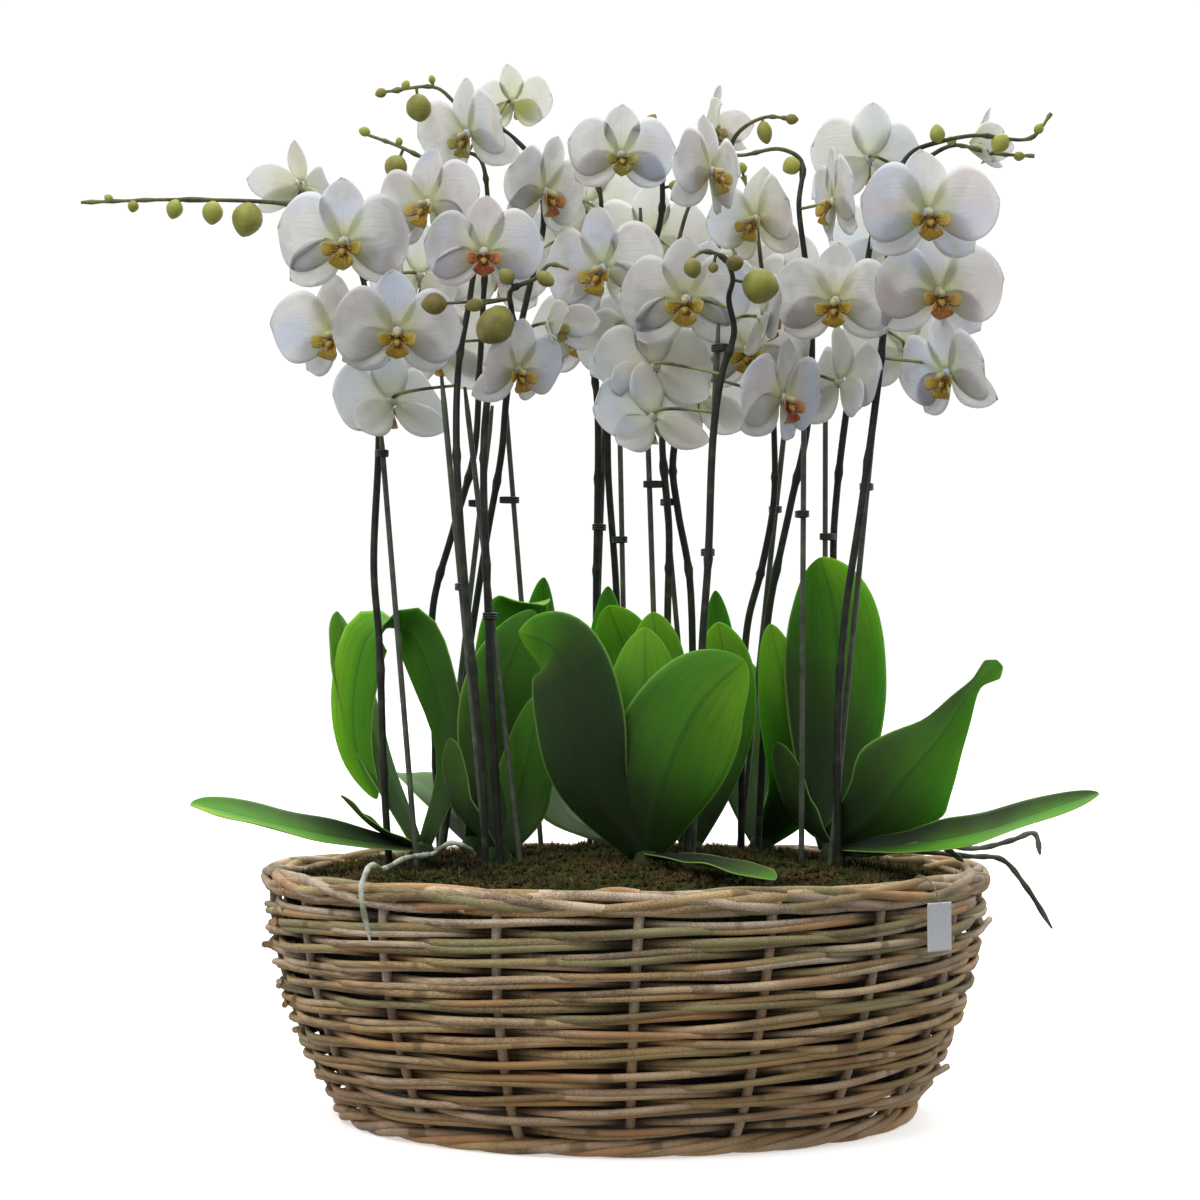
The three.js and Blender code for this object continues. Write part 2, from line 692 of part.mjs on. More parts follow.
    leaves: [
      {
        path: [[0, 0, 184], [127, 59, 228], [119, 26, 288], [106, 16, 348]],
        width: 44, across: [[1, 0.2, 0], [1, 0.2, 0]],
      },
      {
        path: [[0, 0, 184], [138, 84, 240], [158, 84, 300]],
        width: 50, across: [[0.9, -0.5, 0], [0.9, -0.5, 0]],
      },
      {
        path: [[0, 0, 184], [152, 138, 224], [190, 168, 246], [226, 190, 240]],
        width: 58, across: [[0.7, -0.7, 0], [0.7, -0.7, 0]],
      },
      {
        path: [[0, 0, 184], [98, 146, 240], [92, 168, 292], [88, 178, 330]],
        width: 54, across: [[1, 0, 0], [1, 0, 0]],
      },
    ],
  },
];

// The fourteen sprays. Each has its stalk, its stick's ends, the heights of its clips, its blooms and buds
const SPRAYS = [
  {
    stalk: [
      [-168, 2, 150.4], [-173, -2, 225], [-177, -6, 336], [-181, -6, 388], [-178, -2, 490],
      [-182, -6, 552], [-190, -12, 600], [-208, -10, 642], [-238, -6, 651], [-321, 0, 656],
      [-395, 0, 654],
    ],
    stick: [[-146, -27, 150], [-176, -14, 492]],
    clips: [470],
    blooms: [
      [-198, -62, 614, -4, 8, 1], [-159, -82, 548, 6, 14, 0.92], [-206, -40, 552, -28, 8, 0.95],
      [-237, 10, 668, -150, -8, 0.8, 0.6], [-150, 30, 604, 160, 5, 0.9],
    ],
    buds: [
      [-274, -2, 641, 26, 22], [-299, -2, 646, 18, 15], [-327, 0, 649, 15, 12], [-357, 0, 651, 9, 8],
      [-375, 0, 657, 7, 6],
    ],
  },
  {
    stalk: [
      [-97, -72, 150.4], [-99, -76, 238], [-104, -78, 293], [-114, -76, 401], [-118, -72, 470],
      [-117, -62, 528], [-109, -56, 580], [-104, -50, 635], [-118, -48, 660], [-156, -42, 684],
      [-187, -36, 697],
    ],
    stick: [[-94, -62, 150], [-129, -64, 520]],
    clips: [372],
    blooms: [
      [-166, -34, 504, -150, 20, 0.92], [-98, -105, 600, 5, 10, 0.84], [-138, -78, 638, -35, 4, 0.88],
    ],
    buds: [[-163, -44, 671, 18, 16], [-161, -40, 690, 7, 5], [-186, -36, 698, 9, 7]],
  },
  {
    stalk: [
      [-86, -58, 150.4], [-93, -54, 265], [-98, -52, 391], [-100, -50, 448], [-99, -48, 490],
      [-93, -54, 527], [-78, -72, 548], [-79, -98, 562], [-79, -108, 573], [-62, -118, 580],
      [-52, -120, 589], [-39, -120, 586],
    ],
    stick: [[-70, -58, 150], [-114, -38, 515]],
    clips: [352],
    blooms: [[-75, -85, 521, 38, 18, 0.78], [-52, -66, 556, 60, 0, 0.72, 0.45]],
    buds: [
      [-82, -114, 582, 13, 11], [-55, -122, 579, 16, 10], [-90, -110, 549, 34, 24],
      [-104, -108, 563, 14, 9], [-132, -100, 565, 18, 15],
    ],
  },
  {
    stalk: [
      [-137, 84, 150.4], [-143, 78, 292], [-143, 71, 363], [-128, 65, 419], [-112, 60, 477],
      [-108, 56, 535], [-104, 48, 605], [-101, 38, 660], [-107, 28, 692], [-120, 22, 694],
      [-129, 16, 668],
    ],
    stick: [[-141, 72, 150], [-99, 74, 514]],
    clips: [440],
    blooms: [
      [-113, -18, 700, -46, 18, 0.86], [-139, 92, 557, 170, 8, 0.95], [-96, 108, 617, 150, 6, 0.95],
    ],
    buds: [[-129, 16, 664, 9, 7], [-121, 20, 701, 8, 6]],
  },
  {
    stalk: [
      [-141, 98, 150.4], [-119, 112, 323], [-105, 106, 413], [-93, 98, 480], [-88, 92, 530],
      [-72, 74, 600], [-60, 50, 650], [-68, 22, 690], [-91, 12, 711], [-121, 0, 725], [-137, -4, 737],
      [-174, -4, 734],
    ],
    stick: [[-60, 96, 150], [-92, 108, 540]],
    clips: [445],
    blooms: [[-82, 38, 735, 150, -4, 0.62], [-58, -12, 659, 58, 16, 0.9], [-44, 108, 640, 165, 8, 0.95]],
    buds: [[-149, -9, 721, 22, 18], [-140, -4, 743, 7, 5], [-159, -4, 739, 8, 6], [-177, -4, 733, 9, 7]],
  },
  {
    stalk: [
      [-20, 121, 150.4], [-21, 117, 378], [-20, 114, 442], [-20, 108, 516], [-26, 94, 580],
      [-20, 74, 630], [-18, 58, 672], [-27, 54, 688], [-42, 50, 690],
    ],
    stick: [[-27, 130, 150], [-13, 118, 554]],
    clips: [425],
    blooms: [[-3, -16, 685, 8, 4, 0.8], [-16, -12, 603, -36, 8, 1], [-28, 132, 676, 170, 8, 0.95]],
    buds: [[-44, 50, 690, 10, 8]],
  },
  {
    stalk: [
      [-3, 126, 150.4], [-5, 122, 366], [-12, 112, 477], [-10, 98, 540], [4, 70, 596], [24, 38, 636],
      [28, 24, 662], [24, 16, 694], [14, 14, 711], [0, 14, 718], [-7, 14, 712],
    ],
    stick: [[4, 118, 150], [-4, 104, 559]],
    clips: [415],
    blooms: [[-29, 64, 566, -30, 10, 0.92], [8, 24, 552, 180, 12, 0.9], [18, 144, 606, 160, 8, 0.95]],
    buds: [
      [-6, 14, 703, 15, 12], [-2, 14, 722, 10, 7], [19, 14, 717, 12, 8], [46, 8, 690, 19, 17],
      [38, 22, 671, 12, 8],
    ],
  },
  {
    stalk: [
      [36, -74, 150.4], [50, -76, 265], [53, -78, 335], [57, -78, 390], [61, -76, 480], [67, -78, 520],
      [75, -82, 548], [71, -90, 570], [73, -104, 583], [66, -114, 595], [52, -120, 598], [44, -122, 593],
    ],
    stick: [[45, -60, 150], [65, -66, 557]],
    clips: [396, 539],
    blooms: [
      [42, -58, 574, -5, 12, 0.95], [21, -36, 529, -165, 6, 0.92], [19, -52, 491, -150, 24, 0.92],
      [110, -62, 504, 52, 10, 0.9], [97, -62, 560, 100, 6, 0.8],
    ],
    buds: [
      [92, -106, 577, 26, 24], [74, -116, 591, 14, 11], [59, -120, 587, 8, 7], [45, -124, 586, 15, 12],
    ],
  },
  {
    stalk: [
      [34, 46, 150.4], [32, 44, 352], [33, 42, 418], [28, 40, 484], [31, 40, 545], [36, 30, 607],
      [44, 14, 645], [54, 4, 668],
    ],
    stick: [[28, 34, 150], [12, 44, 658]],
    clips: [452],
    blooms: [[60, -62, 664, 60, 4, 0.88], [19, 74, 640, 172, 6, 0.95], [60, 12, 586, 20, 10, 0.9]],
    buds: [[56, 2, 676, 9, 7]],
  },
  {
    stalk: [
      [49, 62, 150.4], [49, 54, 379], [40, 50, 432], [36, 48, 468], [44, 48, 515], [56, 48, 567],
      [70, 48, 630], [76, 42, 685], [83, 37, 711], [103, 32, 723], [125, 32, 722],
    ],
    stick: [[57, 70, 150], [28, 58, 475]],
    clips: [440],
    blooms: [
      [64, 54, 719, 60, -10, 0.75, 0.5], [88, 104, 634, 150, 8, 0.95], [58, 96, 522, 165, 12, 0.95],
    ],
    buds: [[104, 32, 712, 18, 11], [124, 32, 722, 10, 8]],
  },
  {
    stalk: [
      [98, 66, 150.4], [104, 48, 293], [106, 42, 352], [122, 28, 436], [133, 16, 490], [136, 4, 555],
      [131, -4, 608], [126, -6, 650], [128, -2, 684], [113, 0, 693], [84, 3, 689], [64, 4, 692],
    ],
    stick: [[126, -10, 150], [130, -4, 574]],
    clips: [427],
    blooms: [[148, -50, 574, -14, 14, 0.92], [148, -42, 646, -80, 6, 0.85], [156, -14, 520, 120, 8, 0.9]],
    buds: [[121, -2, 680, 14, 13], [64, 4, 687, 13, 10]],
  },
  {
    stalk: [
      [88, 82, 150.4], [88, 66, 263], [92, 60, 349], [102, 56, 389], [111, 50, 440], [111, 44, 490],
      [108, 38, 540], [102, 28, 600], [95, 18, 650], [87, 14, 676],
    ],
    stick: [[84, 96, 150], [121, 60, 505]],
    clips: [435],
    blooms: [[94, -24, 637, -45, 8, 0.84], [90, -2, 546, -16, 12, 0.9], [134, 56, 597, 150, 8, 0.95]],
    buds: [[86, 14, 682, 9, 7]],
  },
  {
    stalk: [
      [152, -22, 150.4], [151, -28, 272], [156, -30, 350], [168, -34, 432], [178, -36, 505],
      [184, -38, 560], [189, -28, 612], [197, -10, 672], [209, -4, 690], [228, 0, 698], [255, 0, 703],
      [295, 0, 701], [310, 0, 719],
    ],
    stick: [[144, -16, 150], [185, -26, 566]],
    clips: [445],
    blooms: [
      [208, -98, 628, 4, 8, 0.98], [219, -66, 578, 10, 12, 0.95], [226, -58, 522, -50, 18, 0.9],
      [204, 16, 548, -170, 10, 0.95], [178, 2, 685, -170, 2, 0.9],
    ],
    buds: [[227, 0, 704, 15, 11], [273, 0, 697, 16, 13], [301, 0, 708, 9, 7]],
  },
  {
    stalk: [
      [164, 26, 150.4], [160, 50, 293], [156, 60, 401], [159, 62, 448], [166, 58, 508], [176, 46, 575],
      [186, 32, 645], [205, 26, 673], [226, 22, 693], [243, 20, 700], [270, 20, 694], [301, 20, 692],
    ],
    stick: [[148, 50, 150], [150, 54, 531]],
    clips: [414],
    blooms: [
      [202, 84, 640, 160, 8, 0.95], [214, 92, 574, 168, 10, 0.95], [259, 36, 702, 70, -6, 0.7, 0.4],
    ],
    buds: [[240, 20, 703, 8, 7], [290, 20, 692, 9, 7]],
  },
];

// Holes in moss and bark for whatever stands in them
function cutFor(filling) {
  const cutters = PLANTS.map(({ crown }) => neckOf(crown, HOLE));
  for (const { stick, stalk } of SPRAYS) {
    cutters.push(stickBody(stick, HOLE));
    const [foot, above] = toVectors(stalk);
    const below = foot.clone().lerp(above, -GAP / (above.z - foot.z));
    const radius = STALK.foot + 2 * HOLE;
    cutters.push(solidOf(tube([below, above], [radius, radius], STALK.sides)));
  }
  return filling.subtract(joined(cutters));
}

const orchids = new THREE.Group();

function addPiece(name, geometry, finish) {
  const material = new THREE.MeshStandardMaterial({ metalness: 0, ...FINISH[finish] });
  const mesh = new THREE.Mesh(geometry, material);
  mesh.name = name;
  orchids.add(mesh);
}

function makeBase() {
  const { radius, thickness, segments } = BASE;
  return lathed([[0, 0], [radius, 0], [radius, thickness], [0, thickness]], segments);
}

addPiece('basket_base', makeBase(), 'rattan');
addPiece('basket_foot', carriedRing(footSection, SEGMENTS), 'rattan');
addPiece('basket_wall', carriedRing(wallSection, SEGMENTS), 'rattan');
addPiece('basket_rim', carriedRing(rimSection, SEGMENTS), 'rattan');
addPiece('basket_tag', geometryOf(makeTag()), 'tag');
addPiece('liner', geometryOf(makeLiner()), 'liner');
addPiece('bark', geometryOf(cutFor(makeBark())), 'bark');
addPiece('moss', geometryOf(cutFor(makeMoss())), 'moss');
PLANTS.forEach((plant, i) => addPiece(`rosette_${i + 1}`, geometryOf(makeRosette(plant)), 'leaf'));
SPRAYS.forEach((spray, i) => {
  const number = String(i + 1).padStart(2, '0');
  addPiece(`spray_${number}`, geometryOf(makeSpray(spray)), 'petal');
  addPiece(`stick_${number}`, geometryOf(makeStick(spray)), 'stick');
});

export default orchids;
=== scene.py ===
"""The looks of a round rattan basket of moth orchids, in metres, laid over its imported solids."""

import logging
import math
from dataclasses import dataclass, field
from enum import Enum

import bmesh
import bpy
import numpy as np
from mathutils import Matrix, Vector


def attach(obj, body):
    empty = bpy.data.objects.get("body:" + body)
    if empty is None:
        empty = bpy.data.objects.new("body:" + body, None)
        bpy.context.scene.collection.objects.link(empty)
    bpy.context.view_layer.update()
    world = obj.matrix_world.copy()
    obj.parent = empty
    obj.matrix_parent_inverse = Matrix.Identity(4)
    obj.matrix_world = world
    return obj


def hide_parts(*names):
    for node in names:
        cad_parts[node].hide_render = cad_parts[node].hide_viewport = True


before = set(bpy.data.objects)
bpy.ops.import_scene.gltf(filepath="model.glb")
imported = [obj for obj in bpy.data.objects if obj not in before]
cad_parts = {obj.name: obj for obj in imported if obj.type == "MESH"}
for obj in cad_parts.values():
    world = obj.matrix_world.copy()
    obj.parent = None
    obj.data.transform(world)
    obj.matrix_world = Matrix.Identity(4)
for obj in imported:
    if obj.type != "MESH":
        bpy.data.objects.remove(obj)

LOG = logging.getLogger("orchids")
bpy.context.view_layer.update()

Array = np.ndarray
Point = tuple[float, float, float]
Colour = tuple[float, float, float]


def paint(red: float, green: float, blue: float) -> Colour:
    """Turns a screen colour into the light values that a shader takes.

    Args:
        red, green, blue: Values from 0 to 255.

    Returns:
        The three linear values.
    """
    shares = [value / 255 for value in (red, green, blue)]
    return tuple(s / 12.92 if s < 0.04045 else ((s + 0.055) / 1.055) ** 2.4 for s in shares)


# Shader wiring


class Wire:
    """A socket of a material, with arithmetic that adds Math nodes."""

    def __init__(self, bench: "Bench", socket: bpy.types.NodeSocket) -> None:
        """Keeps the socket and the bench that its nodes are added on."""
        self.bench = bench
        self.socket = socket

    def __add__(self, other: "Wire | float") -> "Wire":
        """Sum of two values."""
        return self.bench.math("ADD", self, other)

    def __radd__(self, other: float) -> "Wire":
        """Sum of a number and this value."""
        return self.bench.math("ADD", other, self)

    def __sub__(self, other: "Wire | float") -> "Wire":
        """Difference of two values."""
        return self.bench.math("SUBTRACT", self, other)

    def __rsub__(self, other: float) -> "Wire":
        """A number less this value."""
        return self.bench.math("SUBTRACT", other, self)

    def __mul__(self, other: "Wire | float") -> "Wire":
        """Product of two values."""
        return self.bench.math("MULTIPLY", self, other)

    def __rmul__(self, other: float) -> "Wire":
        """Product of a number and this value."""
        return self.bench.math("MULTIPLY", other, self)

    def between(self, low: float, high: float) -> "Wire":
        """Rises smoothly from 0 at low to 1 at high.

        Args:
            low: Where the step starts.
            high: Where it ends; it may be below low.

        Returns:
            The step.
        """
        settings = {"interpolation_type": "SMOOTHSTEP"}
        return self.bench.add("ShaderNodeMapRange", settings, {"Value": self, 1: low, 2: high})


class Bench:
    """One material while its nodes are wired."""

    def __init__(self, name: str) -> None:
        """Starts a material with one principled shader.

        Args:
            name: Its name.
        """
        self.material = bpy.data.materials.new(name)
        self.material.use_nodes = True
        self.tree = self.material.node_tree
        self.shader = next(n for n in self.tree.nodes if n.type == "BSDF_PRINCIPLED")

    def put(self, node: bpy.types.Node, values: dict) -> None:
        """Sets or links sockets of a node.

        Args:
            node: The node.
            values: A number, colour or Wire for each socket's name or place.
        """
        for key, value in values.items():
            if isinstance(value, Wire):
                self.tree.links.new(value.socket, node.inputs[key])
            elif isinstance(value, tuple) and node.inputs[key].type == "RGBA":
                node.inputs[key].default_value = (*value, 1)
            else:
                node.inputs[key].default_value = value

    def add(self, kind: str, settings: dict, values: dict, output: str | int = 0) -> Wire:
        """Adds a node.

        Args:
            kind: Type of the node.
            settings: Its own settings, which are set first.
            values: The values or links of its sockets.
            output: Name or place of the output to read.

        Returns:
            That output.
        """
        node = self.tree.nodes.new(kind)
        for name, value in settings.items():
            setattr(node, name, value)
        self.put(node, values)
        return Wire(self, node.outputs[output])

    def math(self, operation: str, *values: Wire | float) -> Wire:
        """Adds a Math node.

        Args:
            operation: Name of the operation.
            values: The values that it takes, in their order.

        Returns:
            The result.
        """
        return self.add("ShaderNodeMath", {"operation": operation}, dict(enumerate(values)))

    def value(self, name: str) -> Wire:
        """The piece's own value of that name at each point."""
        return self.add("ShaderNodeAttribute", {"attribute_name": name}, {}, "Fac")

    def place(self) -> Wire:
        """Object coordinates."""
        return self.add("ShaderNodeTexCoord", {}, {}, "Object")

    def parts(self, vector: Wire) -> list[Wire]:
        """The three numbers of a vector."""
        values = {0: vector}
        return [self.add("ShaderNodeSeparateXYZ", {}, values, name) for name in "XYZ"]

    def vector(self, x: Wire | float, y: Wire | float, z: Wire | float) -> Wire:
        """A vector from three numbers."""
        return self.add("ShaderNodeCombineXYZ", {}, {0: x, 1: y, 2: z})

    def noise(self, vector: Wire, scale: float, detail: float) -> Wire:
        """Soft noise.

        Args:
            vector: Where it is read.
            scale: How many lumps there are in a metre.
            detail: How many finer layers it has.

        Returns:
            A value around 0.5.
        """
        return self.add("ShaderNodeTexNoise", {}, {"Vector": vector, "Scale": scale, "Detail": detail})

    def mix(self, share: Wire | float, first: Wire | Colour, second: Wire | Colour) -> Wire:
        """Blends two colours.

        Args:
            share: How much there is of the second.
            first: The colour at 0.
            second: The colour at 1.

        Returns:
            The blended colour.
        """
        return self.add("ShaderNodeMix", {"data_type": "RGBA"}, {0: share, 6: first, 7: second}, 2)

    def layers(self, body: Wire | Colour, *coats: tuple[Wire | float, Colour]) -> Wire:
        """Lays colours over each other.

        Args:
            body: The lowest colour.
            coats: The share and the colour of each layer over it.

        Returns:
            The blended colour.
        """
        for share, colour in coats:
            body = self.mix(share, body, colour)
        return body

    def bump(self, height: Wire, depth: float, strength: float) -> Wire:
        """A normal from a height.

        Args:
            height: The relief, from 0 to 1.
            depth: Its depth in metres.
            strength: How strongly it shows.

        Returns:
            The normal.
        """
        return self.add("ShaderNodeBump", {}, {"Height": height, "Distance": depth, "Strength": strength})

    def done(self, values: dict) -> bpy.types.Material:
        """Sets the shader's own sockets and returns the material."""
        self.put(self.shader, values)
        return self.material


class Sky(Bench):
    """The light that comes from all round while its nodes are wired."""

    def __init__(self) -> None:
        """Starts a world with one background."""
        self.world = bpy.data.worlds.new("studio")
        self.world.use_nodes = True
        self.tree = self.world.node_tree
        self.shader = self.tree.nodes["Background"]


# Finishes


@dataclass(frozen=True)
class Cane:
    """Weathered rattan: a blotched tone for each rod, fine fibres, darker joints and painted shade where rods
    pass behind the stakes.
    """

    name: str = "rattan"
    # Painted shade colour for rods where they lie behind the stakes.
    painted_recess_shade: Colour = paint(28, 20, 13)
    dark: Colour = paint(96, 78, 56)
    grey: Colour = paint(234, 214, 188)
    ochre: Colour = paint(236, 200, 142)
    olive: Colour = paint(176, 168, 120)
    amber: Colour = paint(206, 150, 98)
    brown: Colour = paint(186, 142, 90)
    fibres: Point = (60.0, 900.0, 1300.0)
    spots: float = 700.0
    relief: float = 0.0006

    def material(self) -> bpy.types.Material:
        """Builds the material, which reads tone for a rod, run along it and deep where others hide it.

        Returns:
            The material.
        """
        bench = Bench(self.name)
        tone, run = bench.value("tone"), bench.value("run")
        place = bench.place()
        x, y, z = bench.parts(place)
        along = bench.vector(run, tone * 7.0, 0.0)
        blotch = bench.noise(along, 16, 3)
        long, wide, high = self.fibres
        fibre = bench.noise(bench.vector(run * long, x * wide + y * wide, z * high), 1, 2)
        body = bench.layers(
            self.grey,
            (tone.between(0.15, 0.6), self.ochre),
            ((tone + blotch).between(1.02, 1.4), self.olive),
            ((blotch * 0.8 + fibre * 0.6).between(0.92, 0.46) * 0.88, self.dark),
            (z.between(0.13, 0.02) * 0.4, self.brown),
            (bench.noise(along, 38, 0).between(0.7, 0.76) * 0.6, self.dark),
            (bench.noise(along, 9, 1).between(0.54, 0.7) * 0.6, self.amber),
            # Painted shade: rods darkened by deep where they pass behind the stakes.
            (bench.value("deep") * 0.9, self.painted_recess_shade),
        )
        relief = fibre * 0.7 + bench.noise(place, self.spots, 2) * 0.3
        return bench.done({
            "Base Color": body, "Roughness": 0.5 + 0.3 * fibre, "Specular IOR Level": 0.35,
            "Normal": bench.bump(relief, self.relief, 0.7),
        })


@dataclass(frozen=True)
class Moss:
    """Dry and living moss: olive, brown and dark patches with a crumbly relief; the largest dark patches are
    painted shade among the plants.
    """

    name: str = "moss"
    # deep is the moss's own dark colour in its crumbs and also painted shade in large patches.
    deep: Colour = paint(20, 20, 12)
    green: Colour = paint(72, 84, 34)
    straw: Colour = paint(114, 94, 56)
    patches: float = 26.0
    crumbs: float = 420.0
    # How many patches of painted shade there are in a metre.
    shade_patches: float = 14.0
    relief: float = 0.003

    def material(self) -> bpy.types.Material:
        """Builds the material, which reads tone for a tuft.

        Returns:
            The material.
        """
        bench = Bench(self.name)
        place = bench.place()
        tone = bench.value("tone")
        crumb = bench.noise(place, self.crumbs, 3)
        body = bench.layers(
            self.green,
            ((bench.noise(place, self.patches, 3) + tone * 0.35).between(0.52, 0.8), self.straw),
            ((crumb + tone * 0.3).between(0.72, 0.42), self.deep),
            # Painted shade: large dark patches stand in for the shade among the plants.
            (bench.noise(place, self.shade_patches, 2).between(0.48, 0.66) * 0.75, self.deep),
        )
        return bench.done({
            "Base Color": body, "Roughness": 0.95, "Specular IOR Level": 0.2,
            "Normal": bench.bump(crumb, self.relief, 0.8),
        })


@dataclass(frozen=True)
class Crumb:
    """Potting bark: brown chips with dark gaps."""

    name: str = "bark"
    dark: Colour = paint(38, 24, 16)
    chip: Colour = paint(104, 72, 48)
    chips: float = 85.0
    grain: float = 300.0
    relief: float = 0.004

    def material(self) -> bpy.types.Material:
        """Builds the material.

        Returns:
            The material.
        """
        bench = Bench(self.name)
        place = bench.place()
        chips = bench.add("ShaderNodeTexVoronoi", {}, {"Vector": place, "Scale": self.chips}, "Distance")
        grain = bench.noise(place, self.grain, 3)
        body = bench.mix((chips + grain * 0.4).between(0.85, 0.35), self.dark, self.chip)
        relief = bench.bump(chips, self.relief, 0.9)
        return bench.done({"Base Color": body, "Roughness": 0.9, "Normal": relief})


@dataclass(frozen=True)
class Film:
    """The thin dark liner, a little creased."""

    name: str = "liner"
    dark: Colour = paint(30, 29, 27)
    worn: Colour = paint(52, 50, 46)
    creases: float = 24.0
    relief: float = 0.004

    def material(self) -> bpy.types.Material:
        """Builds the material.

        Returns:
            The material.
        """
        bench = Bench(self.name)
        crease = bench.noise(bench.place(), self.creases, 3)
        return bench.done({
            "Base Color": bench.mix(crease, self.dark, self.worn), "Roughness": 0.45 + 0.2 * crease,
            "Normal": bench.bump(crease, self.relief, 0.6),
        })


@dataclass(frozen=True)
class Blade:
    """A leaf: deep to mid green, with painted dark shade at its base and on leaves in shade, painted light in
    a vivid yellow-green towards lit tips, a groove at its midrib painted darker and a light margin.
    """

    name: str = "leaf"
    # shade_black is painted shade; backlit_green is painted light shining through the blade.
    shade_black: Colour = paint(38, 44, 40)
    deep: Colour = paint(62, 86, 38)
    green: Colour = paint(88, 158, 36)
    backlit_green: Colour = paint(154, 214, 48)
    edge: Colour = paint(172, 204, 106)
    under: Colour = paint(76, 108, 54)
    clouds: float = 22.0
    pores: float = 260.0
    relief: float = 0.0006

    def material(self) -> bpy.types.Material:
        """Builds the material, which reads run and side over the blade, tone there and face for its top.

        Returns:
            The material.
        """
        bench = Bench(self.name)
        run, side, tone = bench.value("run"), bench.value("side"), bench.value("tone")
        place = bench.place()
        across = bench.math("ABSOLUTE", side)
        cloud = bench.noise(place, self.clouds, 3)
        glow = tone + (cloud - 0.5) * 0.35
        vein = bench.noise(bench.vector(side * 9.0, run * 1.2, tone), 3, 1)
        # Painted light and shade: glow, from each leaf's tone, runs from painted shade through its own greens
        # to painted light.
        body = bench.layers(
            self.shade_black,
            (glow.between(0.0, 0.34), self.deep),
            (glow.between(0.24, 0.62), self.green),
            (glow.between(0.6, 1.1), self.backlit_green),
            (vein.between(0.35, 0.8) * 0.3, self.deep),
            # Painted shade: darker towards the leaf's base, deep in the crown.
            (run.between(0.55, 0.05) * 0.8, self.shade_black),
            (across.between(0.08, 0.0) * 0.35, self.shade_black),
            (across.between(0.94, 1.0) * 0.65, self.edge),
            ((1.0 - bench.value("face")) * 0.3, self.under),
        )
        relief = vein * 0.5 + bench.noise(place, self.pores, 2) * 0.5
        return bench.done({
            "Base Color": body, "Roughness": 0.44 + 0.2 * cloud, "Specular IOR Level": 0.1,
            "Subsurface Weight": 0.45, "Subsurface Scale": 0.004, "Subsurface Radius": (0.5, 1.0, 0.2),
            "Normal": bench.bump(relief, self.relief, 0.5),
        })


@dataclass(frozen=True)
class AirRoot:
    """An air root: silvery green with a few cracks, or dark and old."""

    name: str = "root"
    silver: Colour = paint(214, 218, 204)
    green: Colour = paint(138, 152, 116)
    crack: Colour = paint(64, 60, 48)
    old: Colour = paint(58, 66, 54)
    clouds: float = 60.0
    cracks: float = 420.0
    relief: float = 0.0006

    def material(self) -> bpy.types.Material:
        """Builds the material, which reads tone from silvery at 0 to dark at 1.

        Returns:
            The material.
        """
        bench = Bench(self.name)
        place = bench.place()
        crack = bench.noise(place, self.cracks, 2)
        body = bench.layers(
            self.silver,
            (bench.noise(place, self.clouds, 3).between(0.4, 0.62), self.green),
            (crack.between(0.6, 0.75) * 0.7, self.crack),
            (bench.value("tone"), self.old),
        )
        return bench.done({
            "Base Color": body, "Roughness": 0.7, "Normal": bench.bump(crack, self.relief, 0.7),
        })


@dataclass(frozen=True)
class Petal:
    """White petals: faint veins, warm patches, greenish near the hub; grey and bluish patches and a greyer
    midline are painted shade, and the pale edges painted light shining through.
    """

    name: str = "petal"
    white: Colour = paint(224, 222, 219)
    # grey is the veins' own colour and also painted shade in patches and along the midline.
    grey: Colour = paint(184, 180, 180)
    # blue_shade is painted bluish shade.
    blue_shade: Colour = paint(192, 205, 234)
    # edge is painted light shining through the thin rims.
    edge: Colour = paint(246, 247, 247)
    tinge: Colour = paint(190, 196, 122)
    back: Colour = paint(208, 212, 186)
    blush: Colour = paint(214, 186, 186)
    young: Colour = paint(176, 182, 84)
    patches: float = 13.0
    flushes: float = 24.0
    clouds: float = 42.0
    grain: float = 500.0
    relief: float = 0.0005

    def material(self) -> bpy.types.Material:
        """Builds the material, which reads run and side over a petal, tone for its blush, and fresh and face.

        Returns:
            The material.
        """
        bench = Bench(self.name)
        run, side, tone = bench.value("run"), bench.value("side"), bench.value("tone")
        fresh, face = bench.value("fresh"), bench.value("face")
        place = bench.place()
        across = bench.math("ABSOLUTE", side)
        fan = side * (0.3 + 0.7 * run)
        vein = bench.noise(bench.vector(fan * 14.0, run * 0.8, tone * 5.0), 2.4, 1)
        patch = bench.noise(place, self.patches, 2)
        cloud = bench.noise(place, self.clouds, 2)
        # rim masks the pale edges, painted light shining through the petal.
        rim = bench.math("MAXIMUM", across, run).between(0.86, 1.0)
        body = bench.layers(
            self.white,
            # Painted shade: bluish and grey patches.
            (patch.between(0.46, 0.6), self.blue_shade),
            ((cloud * 0.7 + patch * 0.3).between(0.54, 0.38) * 0.8, self.grey),
            (vein.between(0.4, 0.72) * 0.22, self.grey),
            (bench.noise(place, self.flushes, 1).between(0.52, 0.68) * 0.4, self.blush),
            # Painted shade: greyer along the petal's midline.
            (across.between(0.12, 0.0) * run.between(0.95, 0.2) * 0.35, self.grey),
            (run.between(0.5, 0.04) * 0.8, self.tinge),
            (run.between(0.6, 0.1) * tone.between(0.35, 1.0) * 0.65, self.blush),
            ((1.0 - face) * (0.35 + run.between(0.7, 0.1) * 0.4), self.back),
            (fresh * run.between(1.3, 0.3), self.young),
            (rim * (1.0 - fresh) * 0.5, self.edge),
        )
        relief = vein * 0.8 + bench.noise(place, self.grain, 1) * 0.2
        return bench.done({
            "Base Color": body, "Roughness": 0.5, "Specular IOR Level": 0.3,
            "Subsurface Weight": 0.62, "Subsurface Scale": 0.006, "Subsurface Radius": (1.0, 1.0, 0.95),
            "Sheen Weight": 0.05, "Normal": bench.bump(relief, self.relief, 0.6),
        })


